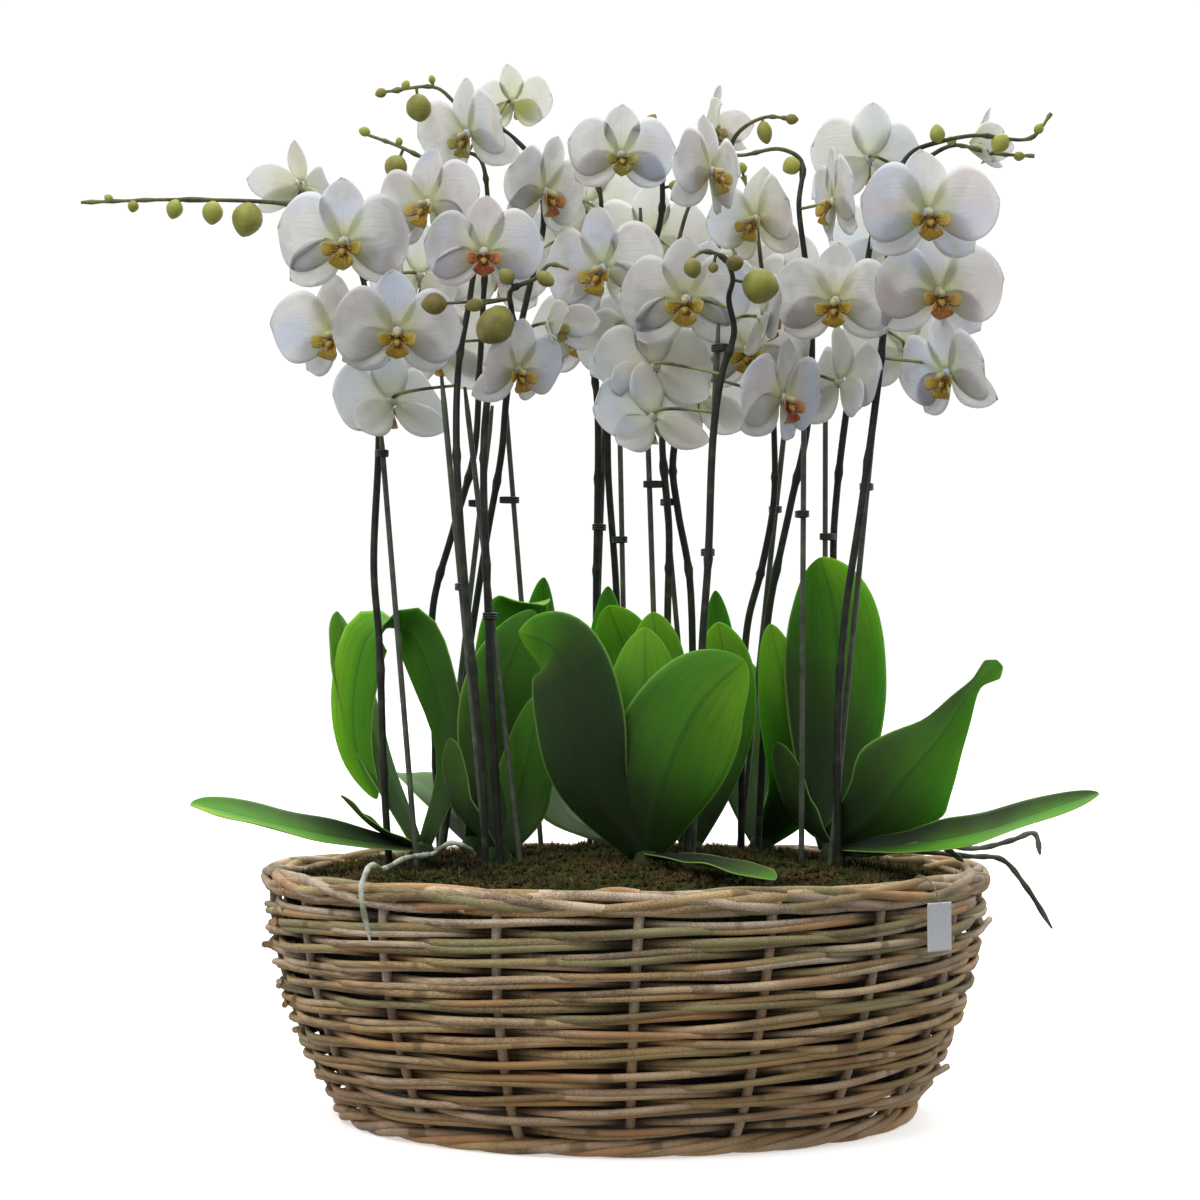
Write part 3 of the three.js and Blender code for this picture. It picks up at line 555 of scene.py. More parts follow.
@dataclass(frozen=True)
class Heart:
    """The lip and column: a coloured lip, dark striped and spotted towards its foot, and a pale column."""

    name: str = "bloom_heart"
    green: Colour = paint(160, 168, 74)
    yellow: Colour = paint(206, 176, 50)
    orange: Colour = paint(208, 134, 60)
    red: Colour = paint(186, 88, 56)
    dark: Colour = paint(92, 42, 20)
    pale: Colour = paint(212, 200, 140)
    white: Colour = paint(202, 190, 142)
    spots: float = 480.0
    relief: float = 0.0005

    def material(self) -> bpy.types.Material:
        """Builds the material, which reads tone for the lip's colour, and side, which is 2 on the column.

        Returns:
            The material.
        """
        bench = Bench(self.name)
        run, side, tone = bench.value("run"), bench.value("side"), bench.value("tone")
        spot = bench.noise(bench.place(), self.spots, 2)
        stripe = bench.noise(bench.vector(side * 7.0, run * 1.4, tone), 3.2, 1)
        marks = (stripe * 0.6 + spot * 0.4).between(0.4, 0.52)
        body = bench.layers(
            self.green,
            (tone.between(0.0, 0.3), self.yellow),
            (tone.between(0.3, 0.6), self.orange),
            (tone.between(0.6, 0.95), self.red),
            (run.between(0.6, 1.0) * 0.5, self.pale),
            (marks * (0.3 + run.between(0.8, 0.2) * 0.7), self.dark),
            (side.between(1.4, 1.6), self.white),
        )
        return bench.done({
            "Base Color": body, "Roughness": 0.42, "Subsurface Weight": 0.12, "Subsurface Scale": 0.003,
            "Normal": bench.bump(spot, self.relief, 0.6),
        })


@dataclass(frozen=True)
class Green:
    """Buds, stalks and sticks: from dark to light, with flecks along them."""

    name: str
    dark: Colour
    light: Colour
    fleck: Colour
    roughness: float = 0.5
    clouds: float = 90.0
    pores: float = 700.0
    relief: float = 0.0004

    def material(self) -> bpy.types.Material:
        """Builds the material, which reads tone from dark at 0 to light at 1 and run along the piece.

        Returns:
            The material.
        """
        bench = Bench(self.name)
        place = bench.place()
        tone, run = bench.value("tone"), bench.value("run")
        cloud = bench.noise(place, self.clouds, 3)
        streak = bench.noise(bench.vector(run * 40.0, tone * 9.0, 0.0), 2, 2)
        body = bench.layers(
            self.dark,
            ((tone + (cloud - 0.5) * 0.7).between(0.05, 0.95), self.light),
            (streak.between(0.55, 0.8) * 0.6, self.fleck),
        )
        return bench.done({
            "Base Color": body, "Roughness": self.roughness, "Specular IOR Level": 0.4,
            "Normal": bench.bump(bench.noise(place, self.pores, 2), self.relief, 0.6),
        })


@dataclass(frozen=True)
class Card:
    """The blank tag: pale grey with a lighter border and a fine grain."""

    name: str = "tag"
    grey: Colour = paint(224, 227, 231)
    light: Colour = paint(238, 240, 242)
    soiled: Colour = paint(160, 162, 164)
    grain: float = 500.0
    relief: float = 0.0003

    def material(self) -> bpy.types.Material:
        """Builds the material, which reads side, from 0 in the middle to 1 on the border.

        Returns:
            The material.
        """
        bench = Bench(self.name)
        grain = bench.noise(bench.place(), self.grain, 3)
        body = bench.layers(
            self.grey, (bench.value("side").between(0.3, 0.7), self.light), (grain * 0.25, self.soiled),
        )
        relief = bench.bump(grain, self.relief, 0.5)
        return bench.done({"Base Color": body, "Roughness": 0.5 + 0.2 * grain, "Normal": relief})


@dataclass(frozen=True)
class Studio:
    """The pale floor."""

    name: str = "studio"
    light: Colour = (0.97, 0.97, 0.97)
    shade: Colour = (0.955, 0.955, 0.955)
    glow: float = 0.5

    def material(self) -> bpy.types.Material:
        """Builds the material.

        Returns:
            The material.
        """
        bench = Bench(self.name)
        body = bench.mix(bench.noise(bench.place(), 3, 1), self.light, self.shade)
        return bench.done({
            "Base Color": body, "Roughness": 0.9, "Specular IOR Level": 0.1,
            "Emission Color": (1.0, 1.0, 1.0), "Emission Strength": self.glow,
        })


STALK_GREEN = Green("stalk", paint(36, 40, 36), paint(160, 166, 98), paint(74, 56, 44))
BUD_GREEN = Green("bud", paint(108, 86, 56), paint(180, 184, 86), paint(112, 90, 56))
STICK_GREEN = Green("stick", paint(52, 60, 54), paint(128, 138, 116), paint(34, 38, 36), 0.4)


# Meshes


def linked(name: str, data: bpy.types.ID) -> bpy.types.Object:
    """Makes an object and links it to the scene.

    Args:
        name: Its name.
        data: Its mesh, camera or light.

    Returns:
        The object.
    """
    thing = bpy.data.objects.new(name, data)
    bpy.context.scene.collection.objects.link(thing)
    return thing


def unit(vector: Array) -> Array:
    """A vector of length one."""
    return vector / np.linalg.norm(vector)


def normals(grid: Array) -> Array:
    """Unit normals of a grid of points, along its rows and columns."""
    normal = np.cross(np.gradient(grid, axis=0), np.gradient(grid, axis=1))
    return normal / np.maximum(np.linalg.norm(normal, axis=2, keepdims=True), 1e-12)


def travelled(points: Array) -> Array:
    """Distance along a path up to each of its points."""
    return np.concatenate([[0.0], np.cumsum(np.linalg.norm(np.diff(points, axis=0), axis=1))])


def ringed(radius: Array | float, angle: Array, height: Array | float) -> Array:
    """Points round the upright axis from radius, angle and height."""
    return np.stack([radius * np.cos(angle), radius * np.sin(angle), height + 0 * angle], -1)


def flowing(points: tuple[Point, ...] | list[Point], shares: Array) -> Array:
    """Places on a smooth curve through points, at shares of their count.

    Args:
        points: The points.
        shares: From 0 at the first to 1 at the last.

    Returns:
        The places.
    """
    rows = np.asarray(points, float)
    rows = np.concatenate([[2 * rows[0] - rows[1]], rows, [2 * rows[-1] - rows[-2]]])
    last = len(rows) - 3
    places = []
    for share in shares:
        at = min(int(share * last), last - 1)
        w = share * last - at
        a, b, c, d = rows[at:at + 4]
        t0, t1, t2 = (max(np.linalg.norm(q - p) ** 0.5, 1e-6) for p, q in ((a, b), (b, c), (c, d)))
        m1 = ((b - a) / t0 - (c - a) / (t0 + t1) + (c - b) / t1) * t1
        m2 = ((c - b) / t1 - (d - b) / (t1 + t2) + (d - c) / t2) * t1
        places.append(b + m1 * w + (3 * (c - b) - 2 * m1 - m2) * w**2 + (2 * (b - c) + m1 + m2) * w**3)
    return np.array(places)


class Pile:
    """Gathers points, faces and a value for each point until they become one piece."""

    def __init__(self) -> None:
        """Starts empty."""
        self.points: list[Array] = []
        self.faces: list[list[int]] = []
        self.edges: list[tuple[int, int]] = []
        self.values: dict[str, list[Array]] = {}
        self.count = 0

    def keep(self, points: Array, values: dict) -> None:
        """Keeps points with their values.

        Args:
            points: The points, in rows of three numbers.
            values: A number for each point, or one for all, under each name.
        """
        self.points.append(points)
        for name, value in values.items():
            self.values.setdefault(name, []).append(np.broadcast_to(np.ravel(value), (len(points),)))
        self.count += len(points)

    def add(self, points: Array, faces: Array | list, **values: Array | float) -> None:
        """Adds a body.

        Args:
            points: Its points.
            faces: Its faces, as places in the points.
            values: A number for each point, or one for all.
        """
        rows = faces.tolist() if isinstance(faces, np.ndarray) else faces
        self.faces.extend([at + self.count for at in row] for row in rows)
        self.keep(points.reshape(-1, 3), values)

    def line(self, points: Array, radius: Array | float, tone: Array | float, closed: bool = False,
             deep: Array | float = 0.0) -> None:
        """Adds a path for a rod.

        Args:
            points: The path's points.
            radius: The rod's radius, at each point or for all.
            tone: The rod's tone.
            closed: Whether the last point joins the first.
            deep: How far it lies behind others, from 0 to 1.
        """
        first, last = self.count, self.count + len(points) - 1
        self.edges.extend((at, at + 1) for at in range(first, last))
        if closed:
            self.edges.append((last, first))
        self.keep(points, {"thick": radius, "tone": tone, "run": travelled(points), "deep": deep})

    def sheet(self, grid: Array, thick: Array, **values: Array | float) -> None:
        """Adds a closed thin sheet under a grid of points.

        Args:
            grid: Rows along the sheet, points across it; the cross product of the two points to its front.
            thick: Its thickness at each point.
            values: A number for each point of the grid, or one for all.
        """
        rows, columns = grid.shape[:2]
        total = rows * columns
        back = grid - normals(grid) * thick[..., None]
        index = np.arange(total).reshape(rows, columns)
        front = np.stack([index[:-1, :-1], index[1:, :-1], index[1:, 1:], index[:-1, 1:]], -1).reshape(-1, 4)
        loop = np.concatenate([index[:-1, 0], index[-1, :-1], index[:0:-1, -1], index[0, :0:-1]])
        ahead = np.roll(loop, -1)
        border = np.stack([ahead, loop, loop + total, ahead + total], -1)
        faces = np.concatenate([front, front[:, ::-1] + total, border])
        both = {"face": np.repeat([1.0, 0.0], total)}
        for name, value in values.items():
            both[name] = np.tile(np.broadcast_to(value, (rows, columns)).ravel(), 2)
        self.add(np.concatenate([grid.reshape(-1, 3), back.reshape(-1, 3)]), faces, **both)

    def rounded(self, rings: Array, first: Array | Point, last: Array | Point,
                **values: Array | float) -> None:
        """Adds a closed body from rings of points and a point at each end.

        Args:
            rings: Its rings, with the same number of points in each.
            first: The point that closes the first ring.
            last: The point that closes the last ring.
            values: A number for each point, or one for all.
        """
        sides = rings.shape[1]
        total = rings.shape[0] * sides
        faces = []
        for k in range(sides):
            ahead = (k + 1) % sides
            faces += [[total, ahead, k], [total + 1, total - sides + k, total - sides + ahead]]
            faces += [[at + k, at + ahead, at + ahead + sides, at + k + sides]
                      for at in range(0, total - sides, sides)]
        self.add(np.concatenate([rings.reshape(-1, 3), [first, last]]), faces, **values)

    def spindle(self, start: Array, end: Array, widths: list[tuple[float, float]], sides: int,
                lobes: float = 0.0, **values: float) -> None:
        """Adds a closed round body between two points.

        Args:
            start: Its first end.
            end: Its last end.
            widths: Rows of share along it and radius there.
            sides: How many sides it has.
            lobes: How strongly three lobes show round it.
            values: A number for all its points.
        """
        axis = unit(end - start)
        across = unit(np.cross(axis, [0.3, 0.2, 1.0] if abs(axis[2]) < 0.9 else [1.0, 0.3, 0.0]))
        other = np.cross(axis, across)
        angle = (np.arange(sides) * 2 * math.pi / sides)[:, None]
        ring = np.cos(angle) * across + np.sin(angle) * other
        swell = 1 + lobes * np.cos(3 * angle)
        rings = [start + (end - start) * share + ring * (radius * swell) for share, radius in widths]
        run = np.concatenate([np.repeat([share for share, _ in widths], sides), [0.0, 1.0]])
        self.rounded(np.array(rings), start, end, **{"run": run, "side": 0.0, "face": 1.0, **values})

    def object(self, name: str, material: bpy.types.Material | None = None) -> bpy.types.Object:
        """Makes the piece.

        Args:
            name: Its name.
            material: Its finish.

        Returns:
            The object, linked to the scene.
        """
        mesh = bpy.data.meshes.new(name)
        mesh.from_pydata(np.concatenate(self.points).tolist(), self.edges, self.faces)
        for key, parts in self.values.items():
            layer = mesh.attributes.new(key, "FLOAT", "POINT")
            layer.data.foreach_set("value", np.concatenate(parts).astype(np.float32))
        if material:
            mesh.materials.append(material)
        mesh.update()
        mesh.shade_smooth()
        return linked(name, mesh)


# Trees of Geometry Nodes


class Grower:
    """Builds a tree of Geometry Nodes with named inputs and runs it on an object."""

    def __init__(self, name: str) -> None:
        """Starts a tree.

        Args:
            name: Its name.
        """
        self.tree = bpy.data.node_groups.new(name, "GeometryNodeTree")
        for way in ("INPUT", "OUTPUT"):
            self.tree.interface.new_socket("Geometry", in_out=way, socket_type="NodeSocketGeometry")
        self.start = self.tree.nodes.new("NodeGroupInput")

    def size(self, name: str, kind: str) -> bpy.types.NodeSocket:
        """Adds a named input and returns its socket."""
        self.tree.interface.new_socket(name, in_out="INPUT", socket_type="NodeSocket" + kind)
        return self.start.outputs[name]

    def add(self, kind: str, settings: dict, values: dict) -> bpy.types.Node:
        """Adds a node.

        Args:
            kind: Type of the node.
            settings: Its own settings, which are set first.
            values: A number, or a socket to link, for each input.

        Returns:
            The node.
        """
        node = self.tree.nodes.new(kind)
        for name, value in settings.items():
            setattr(node, name, value)
        for key, value in values.items():
            if isinstance(value, bpy.types.NodeSocket):
                self.tree.links.new(value, node.inputs[key])
            else:
                node.inputs[key].default_value = value
        return node

    def end(self, geometry: bpy.types.NodeSocket, finish: bpy.types.NodeSocket) -> None:
        """Closes the tree with real geometry that has its finish.

        Args:
            geometry: What is shown.
            finish: The material's socket.
        """
        real = self.add("GeometryNodeRealizeInstances", {}, {0: geometry})
        dressed = self.add("GeometryNodeSetMaterial", {}, {0: real.outputs[0], "Material": finish})
        self.add("NodeGroupOutput", {}, {0: dressed.outputs[0]})

    def grow(self, source: bpy.types.Object, name: str, **inputs: object) -> bpy.types.Object:
        """Runs the tree on an object and turns the result into a plain mesh.

        Args:
            source: The object, which is removed.
            name: Name of the result.
            inputs: A value for each named input.

        Returns:
            The result.
        """
        modifier = source.modifiers.new("grow", "NODES")
        modifier.node_group = self.tree
        for item in self.tree.interface.items_tree:
            if item.name in inputs:
                modifier[item.identifier] = inputs[item.name]
        graph = bpy.context.evaluated_depsgraph_get()
        evaluated = source.evaluated_get(graph)
        mesh = bpy.data.meshes.new_from_object(evaluated, preserve_all_data_layers=True, depsgraph=graph)
        bpy.data.objects.remove(source)
        mesh.name = name
        mesh.shade_smooth()
        return linked(name, mesh)


class Sweep(Grower):
    """Turns paths into rods: inputs are Sides and Finish, and each point has its own radius, thick."""

    def __init__(self) -> None:
        """Builds the tree."""
        super().__init__("sweep_rods")
        sides, finish = self.size("Sides", "Int"), self.size("Finish", "Material")
        curve = self.add("GeometryNodeMeshToCurve", {}, {0: self.start.outputs[0]})
        radius = self.add("GeometryNodeInputNamedAttribute", {"data_type": "FLOAT"}, {"Name": "thick"})
        ring = self.add("GeometryNodeCurvePrimitiveCircle", {}, {"Resolution": sides, "Radius": 1.0})
        rods = self.add("GeometryNodeCurveToMesh", {}, {
            "Curve": curve.outputs[0], "Profile Curve": ring.outputs[0],
            "Scale": radius.outputs["Attribute"], "Fill Caps": True,
        })
        self.end(rods.outputs[0], finish)

    def rods(self, paths: Pile, name: str, finish: bpy.types.Material, sides: int) -> bpy.types.Object:
        """Sweeps a pile of paths.

        Args:
            paths: The paths.
            name: Name of the piece.
            finish: Its material.
            sides: How many sides a rod has.

        Returns:
            The piece.
        """
        return self.grow(paths.object(name + "_path"), name, Sides=sides, Finish=finish)


class Tufts(Grower):
    """Spreads small tufts over the upward faces of an object and keeps the object itself.

    The inputs are Density, Seed, Smallest, Largest and Finish.
    """

    LEAST_UPWARD = 0.3
    LEAN = 0.6

    def __init__(self, tuft: bpy.types.Object) -> None:
        """Builds the tree.

        Args:
            tuft: What is spread.
        """
        super().__init__("spread_tufts")
        density, seed = self.size("Density", "Float"), self.size("Seed", "Int")
        smallest, largest = self.size("Smallest", "Float"), self.size("Largest", "Float")
        finish = self.size("Finish", "Material")
        ground = self.start.outputs[0]
        normal = self.add("GeometryNodeInputNormal", {}, {})
        rise = self.add("ShaderNodeSeparateXYZ", {}, {0: normal.outputs[0]})
        upward = self.add("FunctionNodeCompare", {"operation": "GREATER_THAN"}, {
            0: rise.outputs[2], 1: self.LEAST_UPWARD,
        })
        spots = self.add("GeometryNodeDistributePointsOnFaces", {}, {
            "Mesh": ground, "Selection": upward.outputs[0], "Density": density, "Seed": seed,
        })
        spin = self.add("FunctionNodeRandomValue", {"data_type": "FLOAT_VECTOR"}, {
            0: (-self.LEAN, -self.LEAN, 0.0), 1: (self.LEAN, self.LEAN, 6.28), "Seed": seed,
        })
        turned = self.add("FunctionNodeEulerToRotation", {}, {0: spin.outputs[0]})
        size = self.add("FunctionNodeRandomValue", {"data_type": "FLOAT"}, {
            2: smallest, 3: largest, "Seed": seed,
        })
        part = self.add("GeometryNodeObjectInfo", {}, {"Object": tuft})
        tufts = self.add("GeometryNodeInstanceOnPoints", {}, {
            "Points": spots.outputs[0], "Instance": part.outputs["Geometry"],
            "Rotation": turned.outputs[0], "Scale": size.outputs[1],
        })
        shade = self.add("FunctionNodeRandomValue", {"data_type": "FLOAT"}, {2: 0.0, 3: 1.0, "Seed": 5})
        toned = self.add("GeometryNodeStoreNamedAttribute", {"data_type": "FLOAT", "domain": "INSTANCE"}, {
            "Geometry": tufts.outputs[0], "Name": "tone", "Value": shade.outputs[1],
        })
        whole = self.add("GeometryNodeJoinGeometry", {}, {0: ground})
        self.tree.links.new(toned.outputs[0], whole.inputs[0])
        self.end(whole.outputs[0], finish)


def settle(piece: bpy.types.Object, slot: str, *nodes: str) -> None:
    """Gives a finished piece its body, hides the solids it stands for, and reports it.

    Args:
        piece: The piece.
        slot: Not used.
        nodes: The nodes it replaces.
    """
    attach(piece, "root")
    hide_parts(*nodes)
    LOG.info("%s: %d faces for %s", piece.name, len(piece.data.polygons), ", ".join(nodes))


# The basket


@dataclass(frozen=True)
class Rope:
    """Rods twisted round each other along a ring; when crossed, every second one turns the other way."""

    radius: float
    height: float
    orbit: float
    strands: int
    turns: int
    rod: float
    seed: int
    crossed: bool = False

    def paths(self) -> Pile:
        """Paths of the rods.

        Returns:
            The paths.
        """
        draw = np.random.default_rng(self.seed)
        paths = Pile()
        angle = np.arange(0, 2 * math.pi, 0.02) + math.pi / 2
        for strand in range(self.strands):
            hand = -1 if self.crossed and strand % 2 else 1
            phase = 2 * math.pi * strand / self.strands + hand * self.turns * angle
            phase = phase + 0.35 * np.sin(4 * angle + draw.uniform(0, 6))
            away = self.orbit * (1 + 0.16 * np.sin(3 * angle + draw.uniform(0, 6)))
            thick = self.rod * draw.uniform(0.9, 1.04) * (1 + 0.05 * np.sin(9 * angle))
            rise = np.maximum(self.height + away * np.sin(phase), 1.02 * thick)
            line = ringed(self.radius + away * np.cos(phase), angle, rise)
            paths.line(line, thick, draw.uniform(0, 1), True)
        return paths


@dataclass(frozen=True)
class Tag:
    """The blank tag: a plate with a raised border, and a wire that runs over the basket's border.

    A row of BEND is how far from the axis and how high the wire is.
    """

    turn: float = math.radians(-40)
    slew: float = math.radians(12)
    reach: float = 0.2665
    height: float = 0.145
    half_width: float = 0.011
    half_height: float = 0.016
    thick: float = 0.0009
    ridge: float = 0.0008
    gap: float = 0.0002
    wire: float = 0.0006

    BEND = ((0.2665, 0.1595), (0.2655, 0.165), (0.2625, 0.1705), (0.256, 0.1768), (0.250, 0.1772),
            (0.246, 0.174))

    def plate(self) -> bpy.types.Object:
        """Builds the plate.

        Returns:
            The plate.
        """
        middle = ringed(self.reach, np.array(self.turn), self.height)
        lie = self.turn + math.pi / 2 - self.slew
        across = np.array([math.cos(lie), math.sin(lie), 0.0])
        out = np.array([math.sin(lie), -math.cos(lie), 0.0])
        wide = np.array([-1, -0.96, -0.86, -0.82, 0.82, 0.86, 0.96, 1]) * self.half_width
        tall = np.array([-1, -0.97, -0.9, -0.87, 0.87, 0.9, 0.97, 1]) * self.half_height
        raised = np.array([0.0, 0.5, 0.5, 0.25, 0.25, 0.5, 0.5, 0.0])
        raised = np.minimum(raised[:, None], raised[None, :])
        grid = (middle + tall[:, None, None] * np.array([0.0, 0.0, 1.0]) + wide[None, :, None] * across
                + (raised * self.ridge + self.gap)[..., None] * out)
        turned = grid[:, ::-1] if np.dot(normals(grid)[4, 4], out) < 0 else grid
        pile = Pile()
        pile.sheet(turned, np.full(raised.shape, self.thick), side=raised > 0.3, run=0.0, tone=0.5)
        return pile.object("basket_tag_card", Card().material())

    def hook(self) -> Pile:
        """Path of the wire.

        Returns:
            The path.
        """
        points = [(r * math.cos(self.turn), r * math.sin(self.turn), z) for r, z in self.BEND]
        paths = Pile()
        paths.line(flowing(points, np.linspace(0, 1, 24)), self.wire, 0.9)
        return paths


@dataclass
class Basket:
    """The woven rattan basket, with its border, its foot, its woven bottom and its tag.

    A row of the wall's profile is a height and the outside radius there.
    """

    sweep: Sweep
    cane: bpy.types.Material
    rim: Rope = Rope(0.2516, 0.167, 0.0056, 8, 5, 0.0034, 3, True)
    foot: Rope = Rope(0.2026, 0.0066, 0.0034, 4, 8, 0.0029, 4)
    profile: tuple = ((0, 0.198), (0.014, 0.208), (0.030, 0.220), (0.052, 0.230), (0.078, 0.240),
                      (0.105, 0.248), (0.134, 0.254), (0.158, 0.256))
    stakes: int = 18
    stake: float = 0.0034
    stake_low: float = 0.010
    stake_high: float = 0.162
    inset: float = 0.0036
    rows: int = 22
    first_row: float = 0.0185
    pitch: float = 0.0064
    rod: float = 0.0025
    spread: float = 0.0018
    swing: float = 0.0037
    dive: float = 1.35
    slant: float = 0.0013
    waver: float = 0.0014
    tuck: float = 0.0026
    tuck_span: float = 0.16
    proud_span: float = 0.15
    stub: float = 0.0029
    base_radius: float = 0.1835
    base_height: float = 0.0035
    base_pitch: float = 0.0062
    base_rod: float = 0.0023
    base_wave: float = 0.0011
    spokes: int = 8
    spoke: float = 0.0016
    spoke_end: float = 0.184

    def wall_radius(self, height: Array | float) -> Array:
        """Outside radius of the wall at a height."""
        return np.interp(height, [z for z, _ in self.profile], [r for _, r in self.profile])

    def wall(self) -> Pile:
        """Paths of the weavers: two rods in each row, and each of them in two lengths.

        Returns:
            The paths.
        """
        draw = np.random.default_rng(11)
        paths = Pile()
        for row in range(self.rows):
            right, left = draw.uniform(-0.35, 0.8), math.pi + draw.uniform(-0.8, 0.35)
            for start, middle, hand in ((right, left, 1), (right + 0.12, left - 0.09, -1)):
                for first, last in ((start, middle), (middle, start + 2 * math.pi)):
                    self.weave(paths, draw, row, hand, np.arange(first - 0.02, last + 0.12, 0.03))
        return paths

    def weave(self, paths: Pile, draw: np.random.Generator, row: int, hand: int, angle: Array) -> None:
        """Adds one rod that passes in front of one stake and behind the next.

        Its first end is tucked in and its last end stands out.

        Args:
            paths: Where it goes.
            draw: Source of small differences.
            row: Which row it lies in.
            hand: 1 for the upper rod of the two and -1 for the lower.
            angle: Its angles round the basket.
        """
        turn = 0.5 + 0.9 * np.sin(2.7 * angle + row * 1.3)
        height = self.first_row + row * self.pitch + self.waver * np.sin(5 * angle + row * 1.1)
        height = height + 0.0006 * np.sin(9 * angle + draw.uniform(0, 6))
        phase = self.stakes / 2 * (angle + math.pi / 2) + row * math.pi
        front = 1 - 2 * ((1 - np.cos(phase)) / 2) ** self.dive
        height = height + self.slant * np.sin(phase) + hand * self.spread * np.cos(turn)
        tucked = np.clip(1 - (angle - angle[0]) / self.tuck_span, 0, 1) ** 2
        proud = np.clip(1 - (angle[-1] - angle) / self.proud_span, 0, 1) ** 2
        radius = self.wall_radius(height) - self.inset + self.swing * front
        radius = radius + hand * 0.7 * self.spread * np.sin(turn)
        radius = radius - self.tuck * tucked + draw.uniform(0.003, 0.008) * proud
        thick = self.rod * draw.uniform(0.88, 1.12) * (1 + 0.06 * np.sin(7 * angle + draw.uniform(0, 6)))
        height = height + draw.uniform(-0.001, 0.003) * proud
        # deep marks where the rod passes behind a stake, and the finish paints shade there.
        deep = np.clip((-0.5 - front) / 0.45, 0, 1) * (1 - proud)
        paths.line(ringed(radius, angle, height), thick, draw.uniform(0, 1), deep=deep)

    def upright(self) -> Pile:
        """Paths of the stakes.

        Returns:
            The paths.
        """
        draw = np.random.default_rng(5)
        paths = Pile()
        height = np.linspace(self.stake_low, self.stake_high, 20)
        radius = self.wall_radius(height) - self.inset - 0.0010
        for k in range(self.stakes):
            turn = 2 * math.pi * k / self.stakes - math.pi / 2 + draw.uniform(-0.01, 0.01)
            angle = turn + 0.02 * (height / 0.16) ** 2
            # The stakes get a little painted shade, as they lie behind the weavers.
            paths.line(ringed(radius, angle, height), self.stake, draw.uniform(0, 0.3), deep=0.12)
        return paths

    def stubs(self) -> Pile:
        """Paths of the cut ends that stand out of the border, two for each stake.

        Returns:
            The paths.
        """
        draw = np.random.default_rng(17)
        paths = Pile()
        share = np.linspace(0, 1, 10)
        for k in range(2 * self.stakes):
            first = (k + draw.uniform(0, 0.6)) * math.pi / self.stakes
            angle = first + share * draw.uniform(0.14, 0.34)
            out, rise = draw.uniform(0.003, 0.010), draw.uniform(-0.012, 0.009)
            radius = self.rim.radius - 0.002 + out * share**1.5
            height = self.rim.height + rise * share + 0.004 * np.sin(math.pi * share)
            paths.line(ringed(radius, angle, height), self.stub - 0.0008 * share, draw.uniform(0, 1))
        return paths

    def bottom(self) -> Pile:
        """Paths of the woven bottom: rings over and under the spokes.

        Returns:
            The paths.
        """
        draw = np.random.default_rng(8)
        paths = Pile()
        angle = np.arange(0, 2 * math.pi, 0.05)
        for i, radius in enumerate(np.arange(self.base_radius, 0.02, -self.base_pitch)):
            height = self.base_height + self.base_wave * np.cos(self.spokes * angle + i * math.pi)
            paths.line(ringed(radius, angle, height), self.base_rod, draw.uniform(0, 1), True)
        for k in range(self.spokes):
            turn = np.array(math.pi * k / self.spokes)
            ends = [ringed(radius, turn, self.base_height) for radius in (-self.spoke_end, self.spoke_end)]
            paths.line(np.array(ends), self.spoke, draw.uniform(0, 0.4))
        return paths

    def build(self) -> None:
        """Builds and dresses every piece of the basket."""
        for paths, name, sides, node in (
                (self.wall(), "basket_weavers", 7, "basket_wall"),
                (self.upright(), "basket_stakes", 10, "basket_wall"),
                (self.rim.paths(), "basket_border", 10, "basket_rim"),
                (self.stubs(), "basket_border_ends", 8, "basket_rim"),
                (self.foot.paths(), "basket_foot_rope", 8, "basket_foot"),
                (self.bottom(), "basket_bottom", 6, "basket_base")):
            settle(self.sweep.rods(paths, name, self.cane, sides), "rattan", node)
        tag = Tag()
        settle(tag.plate(), "tag", "basket_tag")
        wire = self.sweep.rods(tag.hook(), "basket_tag_wire", STICK_GREEN.material(), 6)
        settle(wire, "stick", "basket_tag")


# The filling


